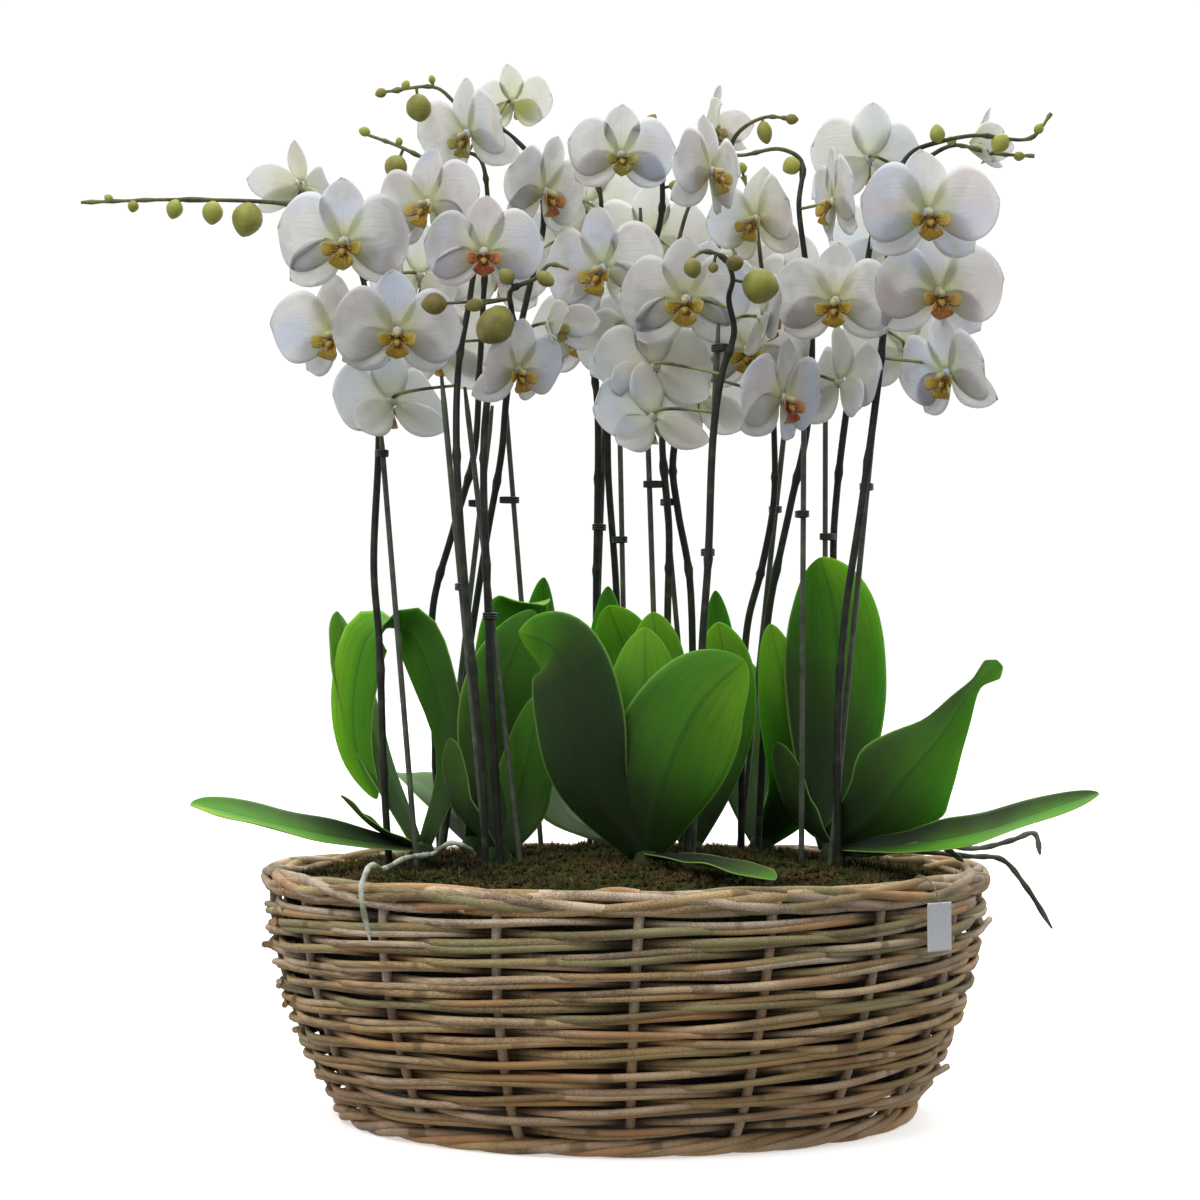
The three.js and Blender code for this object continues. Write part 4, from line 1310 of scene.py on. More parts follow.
@dataclass
class Filling:
    """The bark, the liner and the heap of moss."""

    edge: float = 0.241
    rise: float = 0.018
    skirt: float = 0.163
    bump: float = 0.0022
    floor: float = 0.1503
    edge_drop: float = 0.004
    hub: float = 0.004
    turns: int = 180
    rings: int = 56
    density: float = 26000.0
    blades: int = 8
    blade: float = 0.0006

    def height(self, x: Array | float, y: Array | float) -> Array:
        """Height of the moss.

        Args:
            x: Places to the right.
            y: Places to the back.

        Returns:
            The height at each place.
        """
        reach = np.minimum(1, np.hypot(x, y) / self.edge)
        lumps = np.sin(x / 0.017) * np.cos(y / 0.014) + np.sin((x + y) / 0.023)
        fine = 0.5 * np.sin(x / 0.0052 + 2 * np.sin(y / 0.009)) * np.cos(y / 0.0047)
        return self.skirt + self.rise * (1 - reach**2) + self.bump * (lumps + fine)

    def heap(self) -> Pile:
        """The heap as one closed body: its flat underside and its lumpy top, a little lower at its edge.

        Returns:
            The body.
        """
        angle = np.arange(self.turns) * 2 * math.pi / self.turns
        radius = np.linspace(self.edge, self.hub, self.rings)[:, None]
        x, y = radius * np.cos(angle), radius * np.sin(angle)
        top = np.stack([x, y, self.height(x, y)], -1)
        top[0, :, 2] -= self.edge_drop
        low = np.stack([x[0] * 0.99, y[0] * 0.99, np.full(self.turns, self.floor)], -1)
        pile = Pile()
        pile.rounded(np.concatenate([low[None], top]), (0, 0, self.floor), (0, 0, self.height(0.0, 0.0)),
                     tone=0.3)
        return pile

    def tuft(self) -> bpy.types.Object:
        """One tuft: a few short pointed blades.

        Returns:
            The tuft.
        """
        draw = np.random.default_rng(21)
        pile = Pile()
        for _ in range(self.blades):
            turn, tilt = draw.uniform(0, 6.28), draw.uniform(0.2, 1.1)
            out = ringed(math.sin(tilt), np.array(turn), math.cos(tilt))
            long = draw.uniform(0.003, 0.0062)
            tip = out * long + np.array([0, 0, draw.uniform(-0.0016, 0.0016)])
            side = unit(np.cross(out, [0.1, 0.2, 1.0])) * self.blade
            over = unit(np.cross(side, out)) * self.blade
            points = np.array([side, -side * 0.5 + over, -side * 0.5 - over, tip])
            pile.add(points, [[0, 2, 1], [0, 1, 3], [1, 2, 3], [2, 0, 3]], tone=draw.uniform(0, 1))
        tuft = pile.object("moss_tuft")
        rebuild = bmesh.new()
        rebuild.from_mesh(tuft.data)
        bmesh.ops.recalc_face_normals(rebuild, faces=rebuild.faces)
        rebuild.to_mesh(tuft.data)
        rebuild.free()
        return tuft

    def build(self) -> None:
        """Dresses the liner and the bark and builds the moss."""
        for node, finish in (("liner", Film()), ("bark", Crumb())):
            material = finish.material()
            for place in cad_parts[node].material_slots:
                place.material = material
            LOG.info("%s: dressed as %s", node, finish.name)
        tuft = self.tuft()
        moss = Tufts(tuft).grow(self.heap().object("moss_heap"), "moss_cover", Density=self.density, Seed=7,
                                Smallest=0.7, Largest=1.5, Finish=Moss().material())
        bpy.data.objects.remove(tuft)
        settle(moss, "moss", "moss")


# The plants


@dataclass(frozen=True)
class Leaf:
    """One leaf: the path of its midrib after the crown, its width and how it lies across at foot and tip.

    Tone is at its middle and is partly the leaf's own colour and partly painted light and shade; glow is
    painted light added towards its tip, and lean is painted light towards its right edge as seen from in
    front, which turns to painted shade when lean is negative. Fold is how far its edges rise, curled narrows
    it where it curls, and root is its lowest height.
    """

    path: tuple[Point, ...]
    width: float
    foot: Point
    tip: Point
    tone: float = 0.4
    glow: float = 0.2
    lean: float = 0.0
    fold: float = 0.16
    curled: bool = False
    root: float = 0.184

    CURL = ((0, .3), (.2, .8), (.38, 1), (.5, .75), (.6, .46), (.7, .28), (.8, .09), (.97, .25), (1, .02))
    ROWS, COLUMNS = 40, 15
    RIPPLE, FLUTTER, GROOVE = 0.0011, 0.0007, 0.0011
    EDGE, BODY = 0.0007, 0.0016

    def share(self, reach: Array) -> Array:
        """Width of the blade, as a share of the widest.

        Args:
            reach: Shares along it.

        Returns:
            The width at each of them.
        """
        if self.curled:
            fine = np.linspace(0, 1, 61)
            rows = np.pad(np.interp(fine, *np.array(self.CURL).T), 2, "edge")
            return np.interp(reach, fine, np.convolve(rows, np.full(5, 0.2), "valid"))
        rising = 0.26 + 0.74 * np.sin(math.pi * np.minimum(reach, 0.5)) ** 0.95
        falling = np.clip(1 - (2 * np.maximum(reach, 0.5) - 1) ** 2, 0, 1) ** 0.6
        return np.maximum(rising * falling, 0.012)

    def grow(self, pile: Pile, crown: tuple[float, float], seed: int) -> None:
        """Adds the leaf to a pile as a closed blade.

        Args:
            pile: Where it goes.
            crown: Where the plant stands.
            seed: For its small differences.
        """
        draw = np.random.default_rng(seed)
        share = np.sin(np.linspace(0, math.pi / 2, self.ROWS))
        line = flowing([(*crown, self.root), *self.path], share)
        reach = share[:, None]
        along = np.gradient(line, axis=0)
        along /= np.linalg.norm(along, axis=1, keepdims=True)
        foot, tip = unit(np.array(self.foot, float)), unit(np.array(self.tip, float))
        side = foot + (tip - foot) * reach
        side -= along * (side * along).sum(1, keepdims=True)
        side /= np.linalg.norm(side, axis=1, keepdims=True)
        up = np.cross(along, side)
        even = np.linspace(-1, 1, self.COLUMNS)
        across = np.sign(even) * np.abs(even) ** 1.15
        half = self.share(reach) * self.width / 2
        wave = self.RIPPLE * np.sin(9 * reach + draw.uniform(0, 6)) * across ** 3
        wave = wave + self.FLUTTER * np.sin(17 * reach + draw.uniform(0, 6)) * np.abs(across) ** 3
        lift = half * self.fold * np.abs(across) ** 1.6 + wave * np.sin(math.pi * reach)
        lift = lift + 0.0006 - self.GROOVE * np.exp(-((across / 0.09) ** 2)) * (1 - reach)
        grid = line[:, None] + side[:, None] * (half * across)[..., None] + up[:, None] * lift[..., None]
        grid, across = grid[:, ::-1], across[::-1]
        if (normals(grid)[12, self.COLUMNS // 2] * up[12]).sum() < 0:
            grid, across = grid[:, ::-1], across[::-1]
        thick = self.EDGE + self.BODY * (1 - across**2) * (1 - 0.5 * reach)
        right = np.sign(grid[self.ROWS // 2, -1, 0] - grid[self.ROWS // 2, 0, 0]) * even
        # Painted light and shade: glow lightens the tip and lean one edge, on top of each leaf's tone.
        tone = self.tone + self.glow * (reach * 1.6 - 0.8) + self.lean * right + draw.uniform(-0.04, 0.04)
        pile.sheet(grid, thick, run=reach, side=across, tone=tone)


@dataclass(frozen=True)
class Plant:
    """One plant: where its crown stands, its leaves, the paths of its air roots and how dark these are."""

    crown: tuple[float, float]
    leaves: tuple[Leaf, ...]
    roots: tuple[tuple[Point, ...], ...] = ()
    aged: float = 0.8

    STEM = ((0.02, 0.0105), (0.5, 0.0115), (0.66, 0.0115), (0.7, 0.0098), (0.86, 0.0112), (0.9, 0.0092),
            (0.97, 0.0075))
    LOW, HIGH, ROOT = 0.115, 0.1915, 0.182

    def build(self, number: int, blade: bpy.types.Material, root: bpy.types.Material, sweep: Sweep) -> None:
        """Builds the rosette and its roots.

        Args:
            number: Which plant this is.
            blade: Finish of the leaves.
            root: Finish of the roots.
            sweep: The tree that turns paths into rods.
        """
        node = f"rosette_{number}"
        pile, paths = Pile(), Pile()
        for i, leaf in enumerate(self.leaves):
            leaf.grow(pile, self.crown, number * 31 + i)
        low, high = (np.array([*self.crown, height]) for height in (self.LOW, self.HIGH))
        pile.spindle(low, high, self.STEM, 14, 0.06, tone=0.25)
        settle(pile.object(f"leaves_{number}", blade), "leaf", node)
        thick = 0.0019 + 0.0003 * np.sin(np.arange(34) * 1.7)
        thick[-3:] *= [0.95, 0.8, 0.4]
        for row in self.roots:
            points = flowing([(*self.crown, self.ROOT), *row], np.linspace(0, 1, len(thick)))
            paths.line(points, thick, self.aged)
        if self.roots:
            settle(sweep.rods(paths, f"roots_{number}", root, 8), "root", node)


class Lip(Enum):
    """Colour of a bloom's lip."""

    GREEN = 0.05
    YELLOW = 0.3
    ORANGE = 0.55
    RED = 0.9


@dataclass(frozen=True)
class Tepal:
    """Outline and lift of a petal or sepal, from its foot near the hub to its tip."""

    start: float
    reach: float
    half: float
    fullness: float
    roundness: float
    lift: float
    cup: float
    groove: float
    wave: float
    rows: int
    columns: int

    def grid(self, draw: np.random.Generator, skew: float) -> tuple[Array, Array, Array]:
        """Points along, across and out of a flat tepal, with their shares.

        Args:
            draw: Source of small differences.
            skew: How much fuller its first side is.

        Returns:
            The points, the shares along as a column and the shares across as a row.
        """
        share = np.sin(np.linspace(0.03, math.pi / 2 - 0.03, self.rows))[:, None]
        side = np.linspace(-1, 1, self.columns)
        half = self.half * np.sin(math.pi * share**self.fullness) ** self.roundness
        uneven = half * side * (1 + skew * side)
        along = self.start + self.reach * share - 0.0012 * side**2 * share
        out = self.lift * share ** 1.3 + self.cup * side**2 * np.sin(math.pi * share ** 0.8)
        out = out - self.groove * np.exp(-((side / 0.13) ** 2)) * (1 - share)
        ripple = np.sin(share * draw.uniform(5, 8) + side * draw.uniform(1, 2) + draw.uniform(0, 6))
        out = out + self.wave * ripple * np.abs(side) ** 2 * share
        return np.stack([along + 0 * side, uneven, out], -1), share, side


SEPAL = Tepal(0.0022, 0.0442, 0.0160, 1.08, 0.54, -0.004, 0.0026, 0.0008, 0.0014, 13, 9)
PETAL = Tepal(0.0022, 0.0480, 0.0285, 1.22, 0.50, 0.0028, -0.0020, 0.0012, 0.0030, 16, 15)


@dataclass(frozen=True)
class Bloom:
    """One bloom: its middle, its turn to the right and its nod down in degrees, its size, how far it is open.

    In its own frame x is to its right, y is up and z is the way it faces. A row of FIVE is a shape, its angle
    in degrees, how far it lies in front, its fuller side and how green it can be.
    """

    x: float
    y: float
    z: float
    turn: float
    nod: float
    size: float
    opened: float = 1.0
    lip: Lip = Lip.YELLOW
    blush: float = 0.2
    fresh: float = 0.0

    FIVE = ((SEPAL, 90, -0.0020, 0, 0.5), (SEPAL, 213, -0.0020, 0, 1), (SEPAL, 327, -0.0020, 0, 0.6),
            (PETAL, 8, 0.0008, 1, 0.3), (PETAL, 172, 0.0012, -1, 0.3))
    HINGE = 0.006
    EDGE, BODY, LIP_THICK = 0.0004, 0.0007, 0.0006
    SKEW, CLOSED_LEAN = 0.06, 75
    MIDDLE = ((0, -0.003, 0.003), (0, -0.0075, 0.0070), (0, -0.0125, 0.0095), (0, -0.0165, 0.0088),
              (0, -0.0195, 0.0055))
    MIDDLE_HALF = ((0, 0.0026), (0.2, 0.0038), (0.4, 0.0072), (0.6, 0.0088), (0.8, 0.0058), (0.93, 0.0026),
                   (1, 0.0006))
    WING = ((0.0018, -0.0035, 0.004), (0.0062, -0.0050, 0.0075), (0.0105, -0.0042, 0.0105),
            (0.0140, -0.0010, 0.0120))
    WING_HALF = ((0, 0.0020), (0.3, 0.0042), (0.65, 0.0056), (0.9, 0.0032), (1, 0.0006))

    def axes(self) -> Array:
        """Finds its own directions.

        Returns:
            Right, up and the way it faces, as rows.
        """
        turn, nod = math.radians(self.turn), math.radians(self.nod)
        face = np.array([math.sin(turn) * math.cos(nod), -math.cos(turn) * math.cos(nod), -math.sin(nod)])
        right = np.array([math.cos(turn), math.sin(turn), 0.0])
        return np.array([right, np.cross(face, right), face])

    def placed(self, points: Array | list[Point]) -> Array:
        """Moves points from the bloom's own frame to the basket's."""
        return np.asarray(points) @ (self.axes() * self.size) + np.array([self.x, self.y, self.z])

    def spindle(self, pile: Pile, ends: list[Point], widths: list[tuple[float, float]], sides: int,
                lobes: float = 0.0, **values: float) -> None:
        """Adds a closed round body.

        Args:
            pile: Where it goes.
            ends: Its ends in the bloom's own frame.
            widths: Rows of share along it and radius there.
            sides: How many sides it has.
            lobes: How strongly three lobes show round it.
            values: A number for all its points.
        """
        widths = [(share, radius * self.size) for share, radius in widths]
        pile.spindle(*self.placed(ends), widths, sides, lobes, **values)

    def tepals(self, pile: Pile, seed: int) -> None:
        """Adds its petals, sepals and hub.

        Args:
            pile: Where they go.
            seed: For small differences.
        """
        draw = np.random.default_rng(seed)
        whole = self.opened == 1
        lean = (1 - self.opened) * self.CLOSED_LEAN
        narrow, loose = (1.0, 9) if whole else (0.62, 3)
        for shape, clock, front, hand, green in self.FIVE:
            grid, share, side = shape.grid(draw, self.SKEW * hand)
            tilt = math.radians(lean * (1.15 if shape is PETAL else 1) + draw.uniform(-loose, loose))
            curl = draw.uniform(-0.009, 0.005) * whole
            y = grid[..., 1] * draw.uniform(0.94, 1.04) * narrow
            along, out = grid[..., 0] - self.HINGE, grid[..., 2] + curl * share ** 2.5
            x = self.HINGE + along * math.cos(tilt) - out * math.sin(tilt)
            z = front + along * math.sin(tilt) + out * math.cos(tilt)
            turn = math.radians(clock + draw.uniform(-5, 5))
            spun = [x * math.cos(turn) - y * math.sin(turn), x * math.sin(turn) + y * math.cos(turn), z]
            thick = self.EDGE + self.BODY * (1 - side**2) * (1 - 0.6 * share)
            pile.sheet(self.placed(np.stack(spun, -1)), thick * self.size, run=share, side=side,
                       tone=self.blush, fresh=self.fresh * green)
        self.spindle(pile, [(0.0012, 0.0013, -0.0075), (0, 0, 0.0045)],
                     [(0.06, 0.0014), (0.35, 0.0030), (0.6, 0.0042), (0.85, 0.0034)], 10,
                     tone=self.blush, fresh=0.4 * self.fresh)

    def heart(self, pile: Pile, seed: int) -> None:
        """Adds its lip and column.

        Args:
            pile: Where they go.
            seed: For small differences.
        """
        draw = np.random.default_rng(seed)
        share = np.linspace(0, 1, 11)
        side = np.linspace(-1, 1, 7)
        tone = self.lip.value + draw.uniform(-0.08, 0.08)
        half = np.interp(share, *np.array(self.MIDDLE_HALF).T)
        middle = flowing(self.MIDDLE, share)
        grid = middle[:, None] + half[:, None, None] * side[None, :, None] * np.array([1.0, 0, 0])
        grid[..., 2] += 0.45 * half[:, None] * side**2 * np.sin(math.pi * share)[:, None]
        self.lobe(pile, grid, share, side, tone)
        half = np.interp(share, *np.array(self.WING_HALF).T)
        for hand in (-1, 1):
            wing = flowing([(hand * x, y, z) for x, y, z in self.WING], share)
            lean = unit(np.array([-0.25 * hand, 0.85, -0.45]))
            self.lobe(pile, wing[:, None] + half[:, None, None] * side[None, :, None] * lean, share, side,
                      tone * 0.8)
        self.spindle(pile, [(0, 0.0012, 0.001), (0, -0.0002, 0.0125)],
                     [(0.05, 0.0024), (0.4, 0.0025), (0.75, 0.0027), (0.93, 0.0018)], 10, tone=0.5, side=2.0)
        self.spindle(pile, [(0, -0.0045, 0.0055), (0, -0.0085, 0.0125)],
                     [(0.15, 0.0022), (0.5, 0.0030), (0.85, 0.0018)], 8, 0.15, tone=0.35)

    def lobe(self, pile: Pile, grid: Array, share: Array, side: Array, tone: float) -> None:
        """Adds one lobe of the lip, with its front to the viewer.

        Args:
            pile: Where it goes.
            grid: Its points in the bloom's own frame.
            share: Shares along it.
            side: Shares across it.
            tone: Its colour.
        """
        if normals(grid)[5, 3, 2] < 0:
            grid = grid[:, ::-1]
        thick = np.full(grid.shape[:2], self.LIP_THICK * self.size)
        pile.sheet(self.placed(grid), thick, run=share[:, None], side=side * 0.9, tone=tone)


@dataclass
class SprayKit:
    """The finishes of the sprays and the tree that makes their rods."""

    sweep: Sweep
    petal: bpy.types.Material = field(default_factory=lambda: Petal().material())
    heart: bpy.types.Material = field(default_factory=lambda: Heart().material())
    stalk: bpy.types.Material = field(default_factory=STALK_GREEN.material)
    bud: bpy.types.Material = field(default_factory=BUD_GREEN.material)
    stick: bpy.types.Material = field(default_factory=STICK_GREEN.material)


@dataclass(frozen=True)
class Spray:
    """One spray: the path of its stalk, its stick's ends, the heights of its clips, its blooms and its buds.

    A bud is its middle, its length and its width. Pale is how light its buds are.
    """

    stalk: tuple[Point, ...]
    stick: tuple[Point, Point]
    clips: tuple[float, ...]
    blooms: tuple[Bloom, ...]
    buds: tuple[tuple[float, ...], ...] = ()
    pale: float = 0.7

    LOWEST_STEM = 0.425
    NODE_STEP = 0.074
    BRACT_STEP = 0.021
    STALK_ROD, STEM_ROD, STICK_ROD, WIRE_ROD = 0.0027, 0.0011, 0.0021, 0.0009
    STICK_FOOT = 0.072
    CLIP_LIFTS, CLIP_HALF, CLIP_LONGEST = (-0.0016, 0.0, 0.0016), 0.0042, 0.010
    BUD_SHARES = (0.03, 0.12, 0.25, 0.4, 0.55, 0.7, 0.83, 0.93, 0.985)

    def line(self) -> Array:
        """Close points along the stalk."""
        return flowing(self.stalk, np.linspace(0, 1, 96))

    def nearest(self, target: Array) -> Array:
        """Finds where a flower stem leaves the stalk.

        Args:
            target: The point that it runs to.

        Returns:
            The nearest place on the flowering part of the stalk.
        """
        line = self.line()
        flowering = line[line[:, 2] > self.LOWEST_STEM]
        return flowering[np.argmin(np.linalg.norm(flowering - target, axis=1))]

    def stick_at(self, height: float) -> Array:
        """The place on the stick at a height."""
        low, high = (np.array(end) for end in self.stick)
        return low + (high - low) * (height - low[2]) / (high[2] - low[2])

    def stems(self) -> Pile:
        """Paths of the stalk with its nodes and bracts, of the flower stems and of the bud stems.

        Returns:
            The paths.
        """
        paths = Pile()
        line = self.line()
        share = np.linspace(0, 1, len(line))
        run = travelled(line) + 0.02
        node = np.abs(run % self.NODE_STEP - self.NODE_STEP / 2) < 0.0032
        bract = np.abs(run % self.BRACT_STEP - self.BRACT_STEP / 2) < 0.0022
        thick = self.STALK_ROD - 0.0016 * np.maximum(0, (share - 0.35) / 0.65)
        thick = thick + 0.0008 * node + 0.0006 * bract * (share > 0.86)
        paths.line(line, thick, 0.1 + 0.5 * np.clip((share - 0.6) / 0.4, 0, 1) ** 1.5)
        for bloom in self.blooms:
            socket, behind = bloom.placed([(0.0016, 0.0018, -0.0060), (0.0024, 0.0026, -0.017)])
            t = np.linspace(0, 1, 9)[:, None]
            bend = self.nearest(behind) * (1 - t) ** 2 + 2 * behind * t * (1 - t) + socket * t**2
            tone = 0.5 - 0.25 * np.cos(t[:, 0] * 9 + bloom.x * 90)
            paths.line(bend, np.linspace(self.STEM_ROD, 0.0013, 9), tone)
        for row in self.buds:
            middle = np.array(row[:3])
            root = self.nearest(middle)
            if np.linalg.norm(root - middle) > 0.4 * row[3]:
                paths.line(np.array([root, (root + middle) / 2, middle]), self.STEM_ROD, 0.3)
        return paths

    def bud_bodies(self) -> Pile:
        """The buds: egg-shaped, with three faint seams.

        Returns:
            The bodies.
        """
        pile = Pile()
        line = self.line()
        for x, y, z, long, wide in self.buds:
            middle = np.array([x, y, z])
            away = middle - self.nearest(middle)
            along = unit(away) if np.linalg.norm(away) > 0.002 else unit(line[-1] - line[-6])
            widths = [(share, wide / 2 * 1.04 * math.sin(math.pi * share**0.9) ** 0.62)
                      for share in self.BUD_SHARES]
            pile.spindle(middle - along * long / 2, middle + along * long / 2, widths, 12, 0.05,
                         tone=self.pale + 0.2 * math.sin(900 * x))
        return pile

    def clasped(self) -> Pile:
        """Paths of the stick and of the three wire loops of each clip.

        Returns:
            The paths.
        """
        paths = Pile()
        foot, top = self.stick_at(self.STICK_FOOT), np.array(self.stick[1])
        thick = np.full(24, self.STICK_ROD)
        thick[-1] = 0.0012
        paths.line(foot + (top - foot) * np.linspace(0, 1, 24)[:, None], thick, 0.4)
        line = self.line()
        turn = np.linspace(0, 2 * math.pi, 18)[:-1, None]
        for z in self.clips:
            centre = self.stick_at(z)
            towards = line[np.argmin(np.abs(line[:, 2] - z))] - centre
            towards[2] = 0
            gap = np.linalg.norm(towards)
            towards /= gap
            other = np.array([-towards[1], towards[0], 0.0])
            far = min(gap + 0.0035, self.CLIP_LONGEST)
            for lift in self.CLIP_LIFTS:
                middle = centre + towards * (far - 0.004) / 2 + np.array([0, 0, lift])
                loop = middle + towards * np.cos(turn) * (far + 0.004) / 2
                loop = loop + other * np.sin(turn) * self.CLIP_HALF
                paths.line(loop, self.WIRE_ROD, 0.1, True)
        return paths

    def build(self, number: int, kit: SprayKit) -> None:
        """Builds the spray's pieces.

        Args:
            number: Which spray this is.
            kit: The finishes and the tree for its rods.
        """
        node, stick = f"spray_{number:02d}", f"stick_{number:02d}"
        petals, hearts = Pile(), Pile()
        for i, bloom in enumerate(self.blooms):
            bloom.tepals(petals, number * 100 + i)
            bloom.heart(hearts, number * 100 + i + 50)
        settle(petals.object(f"petals_{number:02d}", kit.petal), "petal", node)
        settle(hearts.object(f"hearts_{number:02d}", kit.heart), "bloom_heart", node)
        settle(kit.sweep.rods(self.stems(), f"stalk_{number:02d}", kit.stalk, 10), "stalk", node)
        if self.buds:
            settle(self.bud_bodies().object(f"buds_{number:02d}", kit.bud), "bud", node)
        settle(kit.sweep.rods(self.clasped(), f"support_{number:02d}", kit.stick, 8), "stick", stick)


# Where each plant and each spray grows


# Each leaf's tone, glow and lean are partly painted light and shade.
PLANTS = (
    Plant((-.146, -.008), (
        Leaf(((-.126, .004, .25), (-.138, .01, .305), (-.158, .016, .344), (-.184, .02, .343),
             (-.197, .02, .3), (-.195, .018, .256), (-.18, .014, .221)), .044, (.8, -.6, 0), (.9, -.45, 0),
             .62, .1, -.2, .04),
        Leaf(((-.184, .034, .262), (-.202, .044, .322), (-.213, .046, .358)), .044, (.5, .8, 0),
             (.5, .8, 0), .6, .2),
        Leaf(((-.195, -.038, .195), (-.235, -.056, .204), (-.275, -.07, .215), (-.301, -.078, .221)), .046,
             (.25, -.85, -.35), (.25, -.85, -.35), .5, .4, .25, root=.186),
        Leaf(((-.18, -.02, .204), (-.202, -.024, .225)), .024, (.1, -1, 0), (0, -1, .2), .3, .1, root=.186)),
        (((-.138, -.052, .184), (-.15, -.11, .186), (-.161, -.16, .182), (-.167, -.196, .186),
          (-.171, -.209, .172), (-.165, -.213, .14)),
         ((-.138, -.04, .184), (-.132, -.072, .187), (-.12, -.086, .195), (-.108, -.078, .19),
          (-.106, -.064, .183))), .05),
    Plant((-.09, -.042), (
        Leaf(((-.092, -.02, .25), (-.086, -.022, .307), (-.066, -.018, .357)), .058, (1, .1, 0),
             (1, .1, .4), .3, .3),
        Leaf(((-.076, -.03, .222), (-.06, -.038, .298)), .042, (1, -.2, 0), (1, -.2, 0), .4),
        Leaf(((-.118, -.042, .222), (-.124, -.044, .266)), .032, (.5, -1, 0), (.8, -.8, 0), .25))),
    Plant((-.114, .098), (
        Leaf(((-.092, .06, .264), (-.084, .05, .329), (-.074, .04, .362), (-.06, .024, .362)), .052,
             (1, .4, 0), (1, .3, 0), .5, .6),
        Leaf(((-.084, .08, .24), (-.066, .072, .31), (-.06, .062, .384)), .04, (1, .5, 0), (1, .5, 0), .45),
        Leaf(((-.138, .14, .214), (-.176, .186, .234), (-.206, .216, .226)), .056, (-.9, -.5, 0),
             (-.8, -.6, .2), .4),
        Leaf(((-.112, .15, .24), (-.108, .176, .29), (-.104, .19, .33)), .054, (1, 0, 0), (1, 0, 0), .45))),
    Plant((-.008, .098), (
        Leaf(((-.012, .084, .277), (-.012, .078, .378)), .036, (1, 0, 0), (1, .2, 0), .45),
        Leaf(((.006, .066, .263), (0, .054, .33), (-.012, .042, .362)), .05, (1, 0, 0), (1, 0, .2), .62, .6),
        Leaf(((.035, .106, .204), (.05, .174, .236), (.056, .236, .232)), .056, (.4, -.9, 0),
             (1, -.2, 0), .45),
        Leaf(((-.044, .112, .206), (-.06, .16, .262), (-.064, .182, .33)), .05, (.4, .9, 0),
             (1, .3, 0), .4))),
    Plant((.014, -.084), (
        Leaf(((-.024, -.108, .236), (-.035, -.118, .286), (-.046, -.116, .326), (-.073, -.104, .34)), .066,
             (1, -.1, .1), (.6, -.6, .4), -.3, 1.6, -.12),
        Leaf(((.01, -.088, .238), (.013, -.09, .293), (.013, -.084, .343)), .058, (1, .1, 0),
             (1, .1, 0), .55, .5),
        Leaf(((.022, -.108, .226), (.034, -.118, .262), (.053, -.12, .295), (.08, -.114, .32)), .082,
             (1, .1, -.3), (.8, .2, -.7), .6, .3, .24, root=.186),
        Leaf(((.049, -.14, .185), (.074, -.18, .182), (.094, -.205, .178)), .034, (.8, .5, 0), (.8, .5, .1),
             .2, .25, root=.187))),
    Plant((.048, .028), (
        Leaf(((.03, .008, .264), (.024, .002, .322), (.02, -.004, .356)), .044, (1, .3, 0),
             (1, .2, 0), .62, .6),
        Leaf(((.066, .024, .249), (.073, .018, .307), (.068, .008, .349)), .05, (1, .2, 0),
             (1, .1, 0), .62, .6),
        Leaf(((.07, .048, .255), (.071, .062, .32), (.068, .058, .374)), .028, (1, -.4, 0),
             (1, -.2, 0), .4))),
    Plant((.15, .004), (
        Leaf(((.154, .014, .249), (.155, .016, .307), (.152, .012, .358), (.142, .004, .396)), .076,
             (1, .2, 0), (1, .1, 0), .4, .6, .3),
        Leaf(((.18, -.034, .214), (.197, -.046, .238), (.222, -.05, .268), (.246, -.049, .304),
             (.264, -.044, .319)), .076, (.75, -.1, -.65), (.75, -.1, -.65), .45, .15, .25, .16,
             True, root=.188),
        Leaf(((.188, -.056, .192), (.214, -.086, .197), (.245, -.1, .204), (.281, -.112, .217),
             (.32, -.114, .23)), .044, (.4, .8, .3), (.2, .8, .55), .34, .15, -.25, root=.186),
        Leaf(((.126, .008, .214), (.11, .004, .262)), .032, (.3, -1, 0), (.9, -.6, 0), .1, .1)),
        (((.2, -.03, .186), (.24, -.058, .184), (.262, -.062, .182), (.278, -.062, .164), (.297, -.06, .134)),
         ((.2, -.018, .194), (.247, -.034, .188), (.272, -.04, .194), (.288, -.042, .199),
          (.292, -.042, .184)),
         ((.176, -.046, .185), (.19, -.064, .189), (.206, -.074, .194), (.222, -.078, .19),
          (.232, -.084, .182)))),
    Plant((.104, .098), (
        Leaf(((.127, .059, .228), (.119, .026, .288), (.106, .016, .348)), .044, (1, .2, 0),
             (1, .2, 0), .6, .6),
        Leaf(((.138, .084, .24), (.158, .084, .3)), .05, (.9, -.5, 0), (.9, -.5, 0), .4),
        Leaf(((.152, .138, .224), (.19, .168, .246), (.226, .19, .24)), .058, (.7, -.7, 0),
             (.7, -.7, 0), .45),
        Leaf(((.098, .146, .24), (.092, .168, .292), (.088, .178, .33)), .054, (1, 0, 0), (1, 0, 0), .4))),
)

